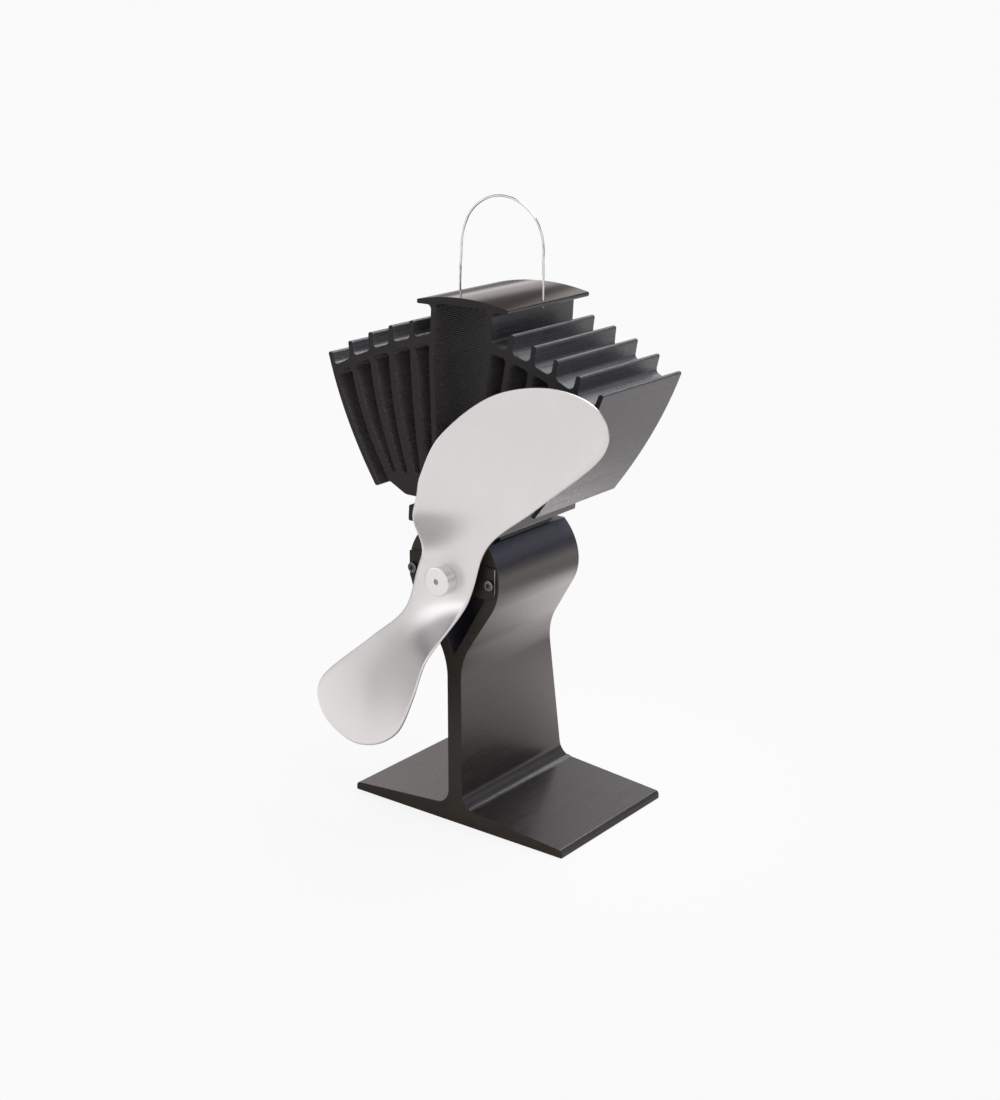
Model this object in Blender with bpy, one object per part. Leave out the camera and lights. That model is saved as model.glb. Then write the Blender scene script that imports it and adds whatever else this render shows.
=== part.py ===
"""A free-standing stove fan, driven by the heat of the stove that it stands on.

The black base is one aluminium extrusion: a foot plate, a stem that splits into two arms, and a
bulb that closes above the motor. A thermoelectric module lies on the bulb, under a second black
extrusion: the heat sink, with ten curved fins, a central channel and a crowned cap. A small motor
in the bulb turns a two-winged aluminium blade in front. A wire bail on the cap carries the fan.

The frame is metres with +Z up. The origin is the middle of the foot plate's underside, and the
blade faces -Y. Outlines are drawn in the X-Z plane and are pushed through along Y.
"""
import math

import bmesh
import bpy
from mathutils import Matrix, Vector

MM = 0.001

# Clearances and cuts
SEAT_GAP = 0.3 * MM
AIR_GAP = 0.4 * MM
CUT_OVERRUN = 2.0 * MM

# Motor and its collar, which set the size of the bulb
MOTOR_RADIUS = 10.0 * MM
MOTOR_WALL = 0.8 * MM
MOTOR_LENGTH = 25.0 * MM
MOTOR_INSET = 0.5 * MM
MOTOR_EDGE_RADIUS = 0.8 * MM
COLLAR_WALL = 0.9 * MM
COLLAR_LENGTH = 6.5 * MM
BOSS_RADIUS = 3.4 * MM
BOSS_LENGTH = 1.2 * MM
BUSH_RADIUS = 2.5 * MM
BUSH_LENGTH = 2.7 * MM
SHAFT_RADIUS = 1.0 * MM
SHAFT_TAIL = 1.0 * MM
MAGNET_STEPS = 8
MAGNET_THICKNESS = 1.7 * MM
MAGNET_LENGTH = 16.0 * MM
MAGNET_OFFSET = 3.4 * MM
MAGNET_SPAN = math.radians(128.0)
POLE_COUNT = 3
CORE_LENGTH = 12.0 * MM
CORE_HUB_RADIUS = 2.6 * MM
CORE_STEM_WIDTH = 2.4 * MM
CORE_SHOE_THICKNESS = 1.2 * MM
CORE_SLOT_WIDTH = 1.8 * MM
COIL_THICKNESS = 1.5 * MM
COIL_HEIGHT = 1.4 * MM
COMMUTATOR_RADIUS = 2.4 * MM
COMMUTATOR_LENGTH = 3.0 * MM
COMMUTATOR_GAP = 2.6 * MM
COMMUTATOR_SLOT_WIDTH = 0.5 * MM
COMMUTATOR_SLOT_DEPTH = 0.5 * MM
BRUSH_THICKNESS = 0.4 * MM
BRUSH_WIDTH = 2.0 * MM
BRUSH_FOOT_THICKNESS = 0.4 * MM
TERMINAL_SPACING = 10.4 * MM
TERMINAL_WIDTH = 2.0 * MM
TERMINAL_THICKNESS = 0.5 * MM
TERMINAL_ROOT = 1.6 * MM
TERMINAL_TAIL = 4.0 * MM
END_CAP_FLANGE = 1.5 * MM
END_CAP_PLUG = 2.2 * MM
END_CAP_WALL = 1.2 * MM
END_CAP_BOSS = 1.4 * MM

# Base extrusion
BASE_WIDTH = 100.0 * MM
BASE_DEPTH = 65.6 * MM
PLATE_EDGE_THICKNESS = 3.1 * MM
PLATE_ROOT_THICKNESS = 7.0 * MM
PLATE_EDGE_RADIUS = 1.0 * MM
FOOT_FILLET = 6.2 * MM
STEM_THICKNESS = 6.5 * MM
AXIS_HEIGHT = 99.3 * MM
BULB_ROOF = 2.4 * MM
CAVITY_MARGIN = 4.4 * MM
ARM_WALL = 5.0 * MM
BULB_TOP_RADIUS = 0.7 * MM
ARM_ANGLE = math.radians(56.5)
ARM_FILLET = 26.0 * MM
NOTCH_DROP = 31.4 * MM
SHOULDER_RISE = 5.3 * MM
SHOULDER_FILLET = 1.0 * MM
BACK_STEP = 0.9 * MM
BACK_LEAN = 0.16

# Thermoelectric module, its pads and its seal
MODULE_SIZE = 28.0 * MM
MODULE_THICKNESS = 2.7 * MM
MODULE_PLATE_THICKNESS = 0.7 * MM
PELLET_ROWS = 7
PELLET_SIZE = 2.0 * MM
PAD_THICKNESS = 0.2 * MM
PAD_GAP = 0.15 * MM
SEAL_WALL = 1.0 * MM

# Heat sink extrusion
HEAT_SINK_OVERHANG = 1.0 * MM
HEAT_SINK_DEPTH = 49.4 * MM
HEAT_SINK_LEAN = 0.085
SLAB_WIDTH = 40.4 * MM
SLAB_THICKNESS = 5.9 * MM
SLAB_RADIUS = 0.7 * MM
NECK_WIDTH = 30.0 * MM
NECK_HEIGHT = 3.5 * MM
NECK_FILLET = 1.4 * MM
BOWL_FLAT_WIDTH = 44.0 * MM
BOWL_FLAT_RADIUS = 5.0 * MM
BOWL_LIP_RISE = 3.9 * MM
BOWL_LIP_RADIUS = 1.0 * MM
FIN_COUNT = 5
FIN_TIP_FIRST = 22.6 * MM
FIN_TIP_PITCH = 9.7 * MM
FIN_CREST_RISE = 73.0 * MM
FIN_CREST_DROP = 15.8 * MM
FIN_CREST_BOW = 1.5 * MM
FIN_FOOT_FIRST = 12.6 * MM
FIN_FOOT_PITCH = 5.4 * MM
FIN_FOOT_RISE = 13.4 * MM
FREE_FIN_FOOT_OFFSET = 35.8 * MM
FREE_FIN_FOOT_RISE = 10.5 * MM
FIN_TIP_THICKNESS = 2.1 * MM
FIN_FOOT_THICKNESS = 3.3 * MM
FIN_END_RADIUS = 0.9 * MM
FIN_BOW = 3.2 * MM
FIN_BOW_SHARES = (0.4, 0.95, 1.0, 1.15, 0.75)
WEB_INNER_RISE = 68.8 * MM
WEB_OUTER_RISE = 51.0 * MM
WEB_BOW = 1.8 * MM
WEB_THICKNESS = 3.0 * MM
WEB_TOP_FILLET = 1.1 * MM
WEB_UNDER_FILLET = 1.7 * MM
CELL_FLOOR_RISE = 18.6 * MM
CELL_FLOOR_DROP = 2.6 * MM
CELL_FLOOR_FILLET = 1.2 * MM
COLUMN_WIDTH = 27.6 * MM
COLUMN_FOOT_WIDTH = 19.2 * MM
COLUMN_SHOULDER_RISE = 61.0 * MM
COLUMN_WALL = 2.4 * MM
CHANNEL_FLOOR_RISE = 12.6 * MM
CHANNEL_FILLET = 0.6 * MM
CAP_WIDTH = 40.8 * MM
CAP_UNDER_RISE = 79.5 * MM
CAP_EDGE_THICKNESS = 1.5 * MM
CAP_CROWN = 2.2 * MM
CAP_EDGE_RADIUS = 0.7 * MM
CAP_FILLET = 1.8 * MM
CAP_MIDDLE_THICKNESS = 2.9 * MM

# Clamp screws that hold the heat sink down on the bulb
CLAMP_SPACING_X = 7.0 * MM
CLAMP_SPACING_Y = 39.0 * MM
CLAMP_SHANK_RADIUS = 1.25 * MM
CLAMP_HEAD_RADIUS = 2.25 * MM
CLAMP_HEAD_HEIGHT = 2.5 * MM
CLAMP_DEPTH = 1.6 * MM
CLAMP_SOCKET_RADIUS = 1.15 * MM
CLAMP_SOCKET_DEPTH = 1.3 * MM
WASHER_RADIUS = 2.4 * MM
WASHER_THICKNESS = 0.5 * MM
WASHER_DISH = 0.35 * MM

# Motor bracket and its screws
BRACKET_WIDTH = 39.6 * MM
BRACKET_THICKNESS = 0.9 * MM
BRACKET_RISE = 6.3 * MM
BRACKET_DROP = 5.9 * MM
BRACKET_TOP_RADIUS = 0.6 * MM
BRACKET_FOOT_RADIUS = 3.2 * MM
BRACKET_SCREW_RADIUS = 1.0 * MM
BRACKET_SCREW_LENGTH = 8.0 * MM
BRACKET_HEAD_RADIUS = 1.9 * MM
BRACKET_HEAD_HEIGHT = 0.9 * MM
BRACKET_SOCKET_RADIUS = 1.0 * MM
BRACKET_SOCKET_DEPTH = 0.5 * MM

# Leads from the module to the motor
LEAD_SPACING = 16.0 * MM
LEAD_RADIUS = 0.7 * MM
LEAD_REACH = 5.4 * MM
LEAD_DROP = 6.0 * MM
LEAD_RUN_SHARE = 0.55
LEAD_STEPS = 3

# Blade, hub and collar
HUB_REACH = 9.9 * MM
HUB_RADIUS = 5.6 * MM
HUB_EDGE_RADIUS = 0.4 * MM
HUB_SPIGOT_RADIUS = 3.0 * MM
HUB_SHAFT_RECESS = 0.4 * MM
BLADE_REACH = 4.5 * MM
BLADE_THICKNESS = 1.0 * MM
BLADE_RADIUS = 95.6 * MM
BLADE_REST_ANGLE = math.radians(60.2)
BLADE_EDGE_SHARES = (
    (-0.977, 0.224),
    (-0.849, 0.311),
    (-0.503, 0.191),
    (-0.247, 0.098),
    (-0.036, 0.129),
    (0.272, 0.172),
    (0.405, 0.200),
    (0.590, 0.205),
    (0.809, 0.126),
    (0.948, -0.040),
)
BLADE_PITCH_ROOT = math.radians(32.8)
BLADE_PITCH_TIP = math.radians(17.4)
BLADE_BEND_REACH = 25.0 * MM
BLADE_CARRY_ROOT = 3.6 * MM
BLADE_CARRY_TIP = 1.8 * MM
BLADE_CAMBER_ROOT = 13.8 * MM
BLADE_CAMBER_TIP = 4.3 * MM
BLADE_CAMBER_REACH = 30.0 * MM
BLADE_COLLAR_RADIUS = 4.3 * MM
BLADE_COLLAR_LENGTH = 1.2 * MM

# Wire bail
BAIL_WIRE_RADIUS = 0.5 * MM
BAIL_SPAN = 37.6 * MM
BAIL_RISE = 37.3 * MM
BAIL_LEG = 16.4 * MM
BAIL_ADVANCE = 1.7 * MM
BAIL_FOOT_THICKNESS = 0.6 * MM
BAIL_FOOT_RADIUS = 1.1 * MM

# Steps of the faceted curves
ARC_STEPS = 3
FACE_STEPS = 4
CROWN_STEPS = 7
ARM_STEPS = 6
BULB_STEPS = 16
CAVITY_STEPS = 10
SHOE_STEPS = 6
ROUND_SEGMENTS = 32
SMALL_SEGMENTS = 16
BLADE_EDGE_STEPS = 6
BLADE_WIDTH_STEPS = 10
BAIL_STEPS = 20
MEETING_STEPS = 20
FILLET_EDGE_SHARE = 0.48

# Places worked out from the sizes
COLLAR_BORE = MOTOR_RADIUS + SEAT_GAP
COLLAR_RADIUS = COLLAR_BORE + COLLAR_WALL
ARCH_RADIUS = COLLAR_RADIUS + SEAT_GAP
CAVITY_RADIUS = ARCH_RADIUS + CAVITY_MARGIN
BULB_RADIUS = CAVITY_RADIUS + ARM_WALL
BULB_TOP = AXIS_HEIGHT + ARCH_RADIUS + BULB_ROOF
BASE_FRONT = -BASE_DEPTH / 2
MODULE_GAP = MODULE_THICKNESS + 2 * PAD_THICKNESS + 4 * PAD_GAP
MODULE_MIDDLE = BULB_TOP + MODULE_GAP / 2
SLAB_BOTTOM = BULB_TOP + MODULE_GAP
SLAB_FRONT = BASE_FRONT - HEAT_SINK_OVERHANG
SLAB_MIDDLE = SLAB_FRONT + HEAT_SINK_DEPTH / 2
CHANNEL_FLOOR = SLAB_BOTTOM + CHANNEL_FLOOR_RISE
CAP_UNDER = SLAB_BOTTOM + CAP_UNDER_RISE
BAIL_PLACE = SLAB_MIDDLE + HEAT_SINK_LEAN * CAP_UNDER_RISE - BAIL_ADVANCE
BRACKET_BACK = BASE_FRONT - SEAT_GAP
BRACKET_FRONT = BRACKET_BACK - BRACKET_THICKNESS
BRACKET_SCREW_OFFSET = (CAVITY_RADIUS + BRACKET_WIDTH / 2) / 2
MOTOR_FRONT = BRACKET_FRONT + MOTOR_INSET
MOTOR_BACK = MOTOR_FRONT + MOTOR_LENGTH
MOTOR_BORE = MOTOR_RADIUS - MOTOR_WALL
FLANGE_FRONT = MOTOR_BACK + SEAT_GAP
FLANGE_BACK = FLANGE_FRONT + END_CAP_FLANGE
SHAFT_BORE = SHAFT_RADIUS + SEAT_GAP
BUSH_SEAT = BUSH_RADIUS + SEAT_GAP
MAGNET_RADIUS = MOTOR_BORE - SEAT_GAP
MAGNET_FRONT = MOTOR_FRONT + MAGNET_OFFSET
CORE_RADIUS = MAGNET_RADIUS - MAGNET_THICKNESS - AIR_GAP
CORE_MIDDLE = MAGNET_FRONT + MAGNET_LENGTH / 2
CORE_BACK = CORE_MIDDLE + CORE_LENGTH / 2
COMMUTATOR_FRONT = CORE_BACK + COMMUTATOR_GAP
BRUSH_MIDDLE = COMMUTATOR_FRONT + COMMUTATOR_LENGTH / 2
BRUSH_OFFSET = COMMUTATOR_RADIUS + SEAT_GAP
TERMINAL_END = FLANGE_BACK + TERMINAL_TAIL
HUB_FACE = BASE_FRONT - HUB_REACH
BLADE_MIDDLE = BASE_FRONT - BLADE_REACH
BLADE_FRONT = BLADE_MIDDLE - BLADE_THICKNESS / 2
BLADE_BACK = BLADE_MIDDLE + BLADE_THICKNESS / 2
HUB_BACK = BLADE_FRONT - SEAT_GAP
COLLAR_FRONT = BLADE_BACK + SEAT_GAP
COLLAR_BACK = COLLAR_FRONT + BLADE_COLLAR_LENGTH
MOTOR_PLACE = (0, 0, AXIS_HEIGHT)

# Finishes as colour, roughness and metallic value
FINISHES = {
    "black_anodised": ((0.030, 0.028, 0.027), 0.42, 0.7),
    "satin_aluminium": ((0.66, 0.66, 0.65), 0.38, 1.0),
    "turned_aluminium": ((0.82, 0.82, 0.81), 0.30, 1.0),
    "bright_wire": ((0.72, 0.72, 0.72), 0.15, 1.0),
    "black_steel": ((0.045, 0.042, 0.036), 0.45, 0.8),
    "zinc_steel": ((0.50, 0.51, 0.52), 0.35, 1.0),
    "ceramic": ((0.80, 0.79, 0.76), 0.55, 0.0),
    "graphite": ((0.06, 0.06, 0.065), 0.5, 0.2),
    "black_silicone": ((0.03, 0.03, 0.03), 0.7, 0.0),
    "black_plastic": ((0.035, 0.035, 0.038), 0.5, 0.0),
    "ferrite": ((0.07, 0.07, 0.07), 0.6, 0.1),
    "bronze": ((0.45, 0.28, 0.12), 0.4, 1.0),
    "copper": ((0.72, 0.32, 0.16), 0.35, 1.0),
    "red_sleeve": ((0.45, 0.03, 0.02), 0.5, 0.0),
    "black_sleeve": ((0.02, 0.02, 0.02), 0.5, 0.0),
}


def clear_scene():
    """Remove every object that the file opens with."""
    for thing in list(bpy.data.objects):
        bpy.data.objects.remove(thing, do_unlink=True)


def make_material(name, finish):
    """Return a Principled material with one colour, roughness and metallic value."""
    colour, roughness, metallic = FINISHES[finish]
    material = bpy.data.materials.new(name)
    material.use_nodes = True
    shader = material.node_tree.nodes["Principled BSDF"]
    shader.inputs["Base Color"].default_value = (*colour, 1.0)
    shader.inputs["Roughness"].default_value = roughness
    shader.inputs["Metallic"].default_value = metallic
    return material


def add_object(name, data, finish, place=(0, 0, 0), parent=None):
    """Link an object at a place, with its own material, under a parent if it has one."""
    thing = bpy.data.objects.new(name, data)
    bpy.context.collection.objects.link(thing)
    if finish and not data.materials:
        data.materials.append(make_material(f"{name}_{finish}", finish))
    thing.location = place
    if parent:
        thing.parent = parent
        thing.location = Vector(place) - parent.location
    return thing


def finish_mesh(name, build, smooth=True):
    """Turn a bmesh into a mesh with its faces pointing out and its curves shaded smooth."""
    bmesh.ops.recalc_face_normals(build, faces=build.faces)
    mesh = bpy.data.meshes.new(name)
    build.to_mesh(mesh)
    build.free()
    if smooth:
        mesh.shade_smooth()
        mesh.set_sharp_from_angle(angle=math.radians(35))
    return mesh


def round_corners(corners):
    """Return an outline's points, with each (x, z, radius) corner rounded to its radius."""
    points = []
    for index, (x, z, radius) in enumerate(corners):
        corner = Vector((x, z))
        back = Vector(corners[index - 1][:2]) - corner
        ahead = Vector(corners[(index + 1) % len(corners)][:2]) - corner
        if radius == 0:
            points.append(corner)
            continue
        half_angle = back.angle(ahead) / 2
        room = FILLET_EDGE_SHARE * min(back.length, ahead.length)
        reach = min(radius / math.tan(half_angle), room)
        used = reach * math.tan(half_angle)
        middle = (back.normalized() + ahead.normalized()).normalized()
        centre = corner + middle * used / math.sin(half_angle)
        start = corner + back.normalized() * reach - centre
        end = corner + ahead.normalized() * reach - centre
        for step in range(ARC_STEPS + 1):
            spoke = start.lerp(end, step / ARC_STEPS).normalized()
            points.append(centre + spoke * used)
    return points


def mirrored(right):
    """Return a whole outline from its right half, which runs from bottom to top."""
    left = [(-x, z, radius) for x, z, radius in reversed(right) if x > 0]
    return right + left


def arc(radius, start, end, steps, middle=(0, 0)):
    """Return the (x, z, 0) corners of an arc about a middle, from one angle to another."""
    corners = []
    for step in range(steps + 1):
        angle = start + (end - start) * step / steps
        x = middle[0] + radius * math.cos(angle)
        corners.append((x, middle[1] + radius * math.sin(angle), 0))
    return corners


def circle(radius, segments=ROUND_SEGMENTS):
    """Return the points of a full circle about the axis."""
    turns = [math.tau * index / segments for index in range(segments)]
    return [Vector((radius * math.cos(turn), radius * math.sin(turn))) for turn in turns]


def prism(name, outlines, start, depth, lean=0.0, lean_from=0.0):
    """Push an outline and its holes through along Y, with both ends leaning back by lean."""
    build = bmesh.new()
    for points in outlines:
        verts = [build.verts.new((x, start + lean * (z - lean_from), z)) for x, z in points]
        for index, vert in enumerate(verts):
            build.edges.new((verts[index - 1], vert))
    bmesh.ops.triangle_fill(build, use_beauty=True, edges=build.edges[:])
    extrude(build, build.faces[:], (0, depth, 0))
    return finish_mesh(name, build)


def extrude(build, faces, step):
    """Push faces out into a closed solid along a step."""
    pushed = bmesh.ops.extrude_face_region(build, geom=faces)
    moved = [item for item in pushed["geom"] if isinstance(item, bmesh.types.BMVert)]
    bmesh.ops.translate(build, verts=moved, vec=step)


def turned(name, profile, segments=ROUND_SEGMENTS, upright=False):
    """Turn a closed (radius, place) profile about the Y axis, or about Z if it is upright."""
    build = bmesh.new()
    rings = []
    for radius, place in profile:
        if radius == 0:
            spot = (0, 0, place) if upright else (0, place, 0)
            rings.append([build.verts.new(spot)] * segments)
            continue
        ring = []
        for x, z in circle(radius, segments):
            ring.append(build.verts.new((x, z, place) if upright else (x, place, z)))
        rings.append(ring)
    for index, ring in enumerate(rings):
        below = rings[index - 1]
        for turn in range(segments):
            corners = (ring[turn], ring[turn - 1], below[turn - 1], below[turn])
            face = list(dict.fromkeys(corners))
            if len(face) > 2:
                build.faces.new(face)
    return finish_mesh(name, build)


def tube(name, bore, radius, start, end, segments=ROUND_SEGMENTS):
    """Return a plain tube along Y."""
    profile = [(bore, start), (radius, start), (radius, end), (bore, end)]
    return turned(name, profile, segments)


def rod(name, radius, start, end, upright=False):
    """Return a plain round rod along Y, or along Z if it is upright."""
    profile = [(0, start), (radius, start), (radius, end), (0, end)]
    return turned(name, profile, SMALL_SEGMENTS, upright)


def boxes(name, corner_pairs):
    """Return one mesh of separate boxes, each given by its lowest and highest corners."""
    build = bmesh.new()
    for low, high in corner_pairs:
        middle = (Vector(low) + Vector(high)) / 2
        size = Vector(high) - Vector(low)
        matrix = Matrix.Translation(middle) @ Matrix.Diagonal((*size, 1.0))
        bmesh.ops.create_cube(build, size=1.0, matrix=matrix)
    return finish_mesh(name, build, smooth=False)


def copies(name, mesh, places):
    """Return one mesh that holds a copy of a mesh at each place."""
    build = bmesh.new()
    for place in places:
        start = len(build.verts)
        build.from_mesh(mesh)
        build.verts.ensure_lookup_table()
        bmesh.ops.translate(build, verts=build.verts[start:], vec=place)
    return finish_mesh(name, build)


def combine(thing, operation, mesh, place=(0, 0, 0), parent=None):
    """Cut a mesh out of an object, or join it on, with a Boolean and a hidden guide."""
    guide = add_object(mesh.name, mesh, None, place, parent)
    guide.hide_render = True
    guide.display_type = "WIRE"
    modifier = thing.modifiers.new(mesh.name, "BOOLEAN")
    modifier.operation = operation
    modifier.solver = "EXACT"
    modifier.object = guide


def smooth_route(points, steps):
    """Return the points of a smooth curve through a route's own points, ends included."""
    route = [Vector(point) for point in points]
    route = [2 * route[0] - route[1], *route, 2 * route[-1] - route[-2]]
    smooth = []
    for index in range(1, len(route) - 2):
        before, start, end, after = route[index - 1:index + 3]
        for step in range(steps):
            smooth.append(catmull_rom(before, start, end, after, step / steps))
    return [*smooth, route[-2]]


def catmull_rom(before, start, end, after, share):
    """Return a point between start and end on a smooth curve through four points."""
    spread = 2 * before - 5 * start + 4 * end - after
    twist = 3 * start - before - 3 * end + after
    return start + ((end - before) * share + spread * share**2 + twist * share**3) / 2


def wire(name, points, radius, finish, radius_shares=None):
    """Make a round wire along its points, thicker where a share says so."""
    curve = bpy.data.curves.new(name, "CURVE")
    curve.dimensions = "3D"
    curve.bevel_depth = radius
    curve.bevel_resolution = 2
    curve.use_fill_caps = True
    spline = curve.splines.new("POLY")
    spline.points.add(len(points) - 1)
    for index, point in enumerate(points):
        spline.points[index].co = (*point, 1.0)
        if radius_shares:
            spline.points[index].radius = radius_shares[index]
    return add_object(name, curve, finish)


def base_outline():
    """Return the base's outer outline: foot plate, stem, arms and bulb."""
    half = BASE_WIDTH / 2
    stem = STEM_THICKNESS / 2
    tangent = ARM_ANGLE - math.pi / 2
    tangent_x = BULB_RADIUS * math.cos(tangent)
    tangent_z = AXIS_HEIGHT + BULB_RADIUS * math.sin(tangent)
    split = tangent_z - (tangent_x - stem) * math.tan(ARM_ANGLE)
    bend = split - ARM_FILLET * math.tan(-tangent / 2)
    top = math.asin((BULB_TOP - AXIS_HEIGHT) / BULB_RADIUS)
    right = [
        (half, 0, PLATE_EDGE_RADIUS / 2),
        (half, PLATE_EDGE_THICKNESS, PLATE_EDGE_RADIUS),
        (stem, PLATE_ROOT_THICKNESS, FOOT_FILLET),
    ]
    right += arc(ARM_FILLET, math.pi, math.pi + tangent, ARM_STEPS, (stem + ARM_FILLET, bend))
    right += arc(BULB_RADIUS, tangent, top, BULB_STEPS, (0, AXIS_HEIGHT))
    right[-1] = (*right[-1][:2], BULB_TOP_RADIUS)
    return round_corners(mirrored(right))


def cavity_outline():
    """Return the hollow between the arms, which arches over the motor's collar."""
    tangent = math.asin(CAVITY_RADIUS / NOTCH_DROP)
    shoulder = math.asin(SHOULDER_RISE / CAVITY_RADIUS)
    arch = math.asin(SHOULDER_RISE / ARCH_RADIUS)
    middle = (0, AXIS_HEIGHT)
    right = [(0, AXIS_HEIGHT - NOTCH_DROP, 0)]
    right += arc(CAVITY_RADIUS, -tangent, shoulder, CAVITY_STEPS, middle)
    right[-1] = (*right[-1][:2], SHOULDER_FILLET)
    right += arc(ARCH_RADIUS, arch, math.pi / 2, CAVITY_STEPS, middle)
    right[-1] = (0, AXIS_HEIGHT + ARCH_RADIUS, 0)
    return round_corners(mirrored(right))


def clamp_places(height):
    """Return the clamp screws' places by name, at a height."""
    places = {}
    for side, side_name in ((-1, "left"), (1, "right")):
        for end, end_name in ((-1, "front"), (1, "rear")):
            y = SLAB_MIDDLE + end * CLAMP_SPACING_Y / 2
            places[f"{end_name}_{side_name}"] = (side * CLAMP_SPACING_X / 2, y, height)
    return places


def bracket_screw_places(height=0):
    """Return the bracket screws' places by name, at a height."""
    return {
        "left": (-BRACKET_SCREW_OFFSET, 0, height),
        "right": (BRACKET_SCREW_OFFSET, 0, height),
    }


def drill_holes(thing, name, radius, start, end, places, upright=False):
    """Drill a hole at each place, along Y or upright along Z."""
    drill = rod(name, radius + SEAT_GAP, start, end, upright)
    combine(thing, "DIFFERENCE", copies(f"{name}s", drill, places.values()))


def make_base():
    """Make the base extrusion, with its back face sawn to a lean and its screw holes."""
    mesh = prism("base_extrusion", [base_outline(), cavity_outline()], BASE_FRONT, BASE_DEPTH)
    base = add_object("base_extrusion", mesh, "black_anodised")
    top = BULB_TOP + CUT_OVERRUN
    back = BASE_DEPTH / 2 - BACK_STEP
    wedge = [
        (BASE_WIDTH, back),
        (BASE_WIDTH, BASE_DEPTH),
        (-BASE_WIDTH, BASE_DEPTH),
        (-BASE_WIDTH, back),
    ]
    build = bmesh.new()
    low = [build.verts.new((x, y, PLATE_ROOT_THICKNESS)) for x, y in wedge]
    lean = BACK_LEAN * (top - PLATE_ROOT_THICKNESS)
    high = [build.verts.new((x, y - (lean if y == back else 0), top)) for x, y in wedge]
    build.faces.new(low)
    build.faces.new(high)
    for index in range(len(wedge)):
        build.faces.new((low[index - 1], low[index], high[index], high[index - 1]))
    combine(base, "DIFFERENCE", finish_mesh("back_wedge", build, smooth=False))
    end = BRACKET_FRONT + BRACKET_SCREW_LENGTH + SEAT_GAP
    start = BASE_FRONT - CUT_OVERRUN
    places = bracket_screw_places(AXIS_HEIGHT)
    drill_holes(base, "bracket_drill", BRACKET_SCREW_RADIUS, start, end, places)
    start = -CLAMP_DEPTH - SEAT_GAP
    places = clamp_places(BULB_TOP)
    drill_holes(base, "clamp_drill", CLAMP_SHANK_RADIUS, start, CUT_OVERRUN, places, True)


def fin_crest(share):
    """Return the height of the fins' tips, at a share of the way from the first to the last."""
    bow = FIN_CREST_BOW * 4 * share * (1 - share)
    return SLAB_BOTTOM + FIN_CREST_RISE - FIN_CREST_DROP * share + bow


def fin_face(fin, side, height):
    """Return how far a fin's face lies from the middle, at a height.

    A fin's middle line runs from its foot to its tip and bows outwards. Side is -1 for the
    inner face and 1 for the outer one.
    """
    free = fin == FIN_COUNT - 1
    foot = FREE_FIN_FOOT_OFFSET if free else FIN_FOOT_FIRST + fin * FIN_FOOT_PITCH
    foot_height = SLAB_BOTTOM + (FREE_FIN_FOOT_RISE if free else FIN_FOOT_RISE)
    foot_thickness = FIN_TIP_THICKNESS if free else FIN_FOOT_THICKNESS
    tip = FIN_TIP_FIRST + fin * FIN_TIP_PITCH
    tip_height = fin_crest(fin / (FIN_COUNT - 1))
    share = (height - foot_height) / (tip_height - foot_height)
    bow = FIN_BOW * FIN_BOW_SHARES[fin] * 4 * share * (1 - share)
    thickness = foot_thickness + (FIN_TIP_THICKNESS - foot_thickness) * share
    return foot + (tip - foot) * share + bow + side * thickness / 2


def column_face(height):
    """Return the column wall's outer face: it widens up to its shoulder, then stands upright."""
    foot = SLAB_BOTTOM + CELL_FLOOR_RISE
    share = min((height - foot) / (SLAB_BOTTOM + COLUMN_SHOULDER_RISE - foot), 1.0)
    return (COLUMN_FOOT_WIDTH + (COLUMN_WIDTH - COLUMN_FOOT_WIDTH) * share) / 2


def web_top(x):
    """Return the web's upper line, which bows upwards as it runs out and down."""
    reach = FIN_TIP_FIRST + (FIN_COUNT - 1) * FIN_TIP_PITCH - COLUMN_WIDTH / 2
    share = (x - COLUMN_WIDTH / 2) / reach
    bow = WEB_BOW * 4 * share * (1 - share)
    return SLAB_BOTTOM + WEB_INNER_RISE + (WEB_OUTER_RISE - WEB_INNER_RISE) * share + bow


def web_under(x):
    """Return the web's lower line."""
    return web_top(x) - WEB_THICKNESS


def cell_floor(x):
    """Return the upper line of the bowl, where the gaps between the fins end."""
    reach = FIN_FOOT_FIRST + (FIN_COUNT - 1) * FIN_FOOT_PITCH
    return SLAB_BOTTOM + CELL_FLOOR_RISE - CELL_FLOOR_DROP * x / reach


def meeting(face, line, radius):
    """Return the corner where an upright face meets a line across it."""
    height = SLAB_BOTTOM + WEB_OUTER_RISE
    for _ in range(MEETING_STEPS):
        height = line(face(height))
    return (face(height), height, radius)


def along(face, start, end):
    """Return the corners along a face between two heights, without its ends."""
    heights = [start + (end - start) * step / FACE_STEPS for step in range(1, FACE_STEPS)]
    return [(face(height), height, 0) for height in heights]


def gap_faces(gap):
    """Return the two faces of the gap inside a fin: the fin's own and its inner neighbour's."""
    if gap == 0:
        return column_face, lambda height: fin_face(0, -1, height)
    return (lambda height: fin_face(gap - 1, 1, height)), (lambda height: fin_face(gap, -1, height))


def fin_tip(fin):
    """Return the two rounded corners of a fin's tip, the outer one first."""
    height = fin_crest(fin / (FIN_COUNT - 1))
    return [(fin_face(fin, side, height), height, FIN_END_RADIUS) for side in (1, -1)]


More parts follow.
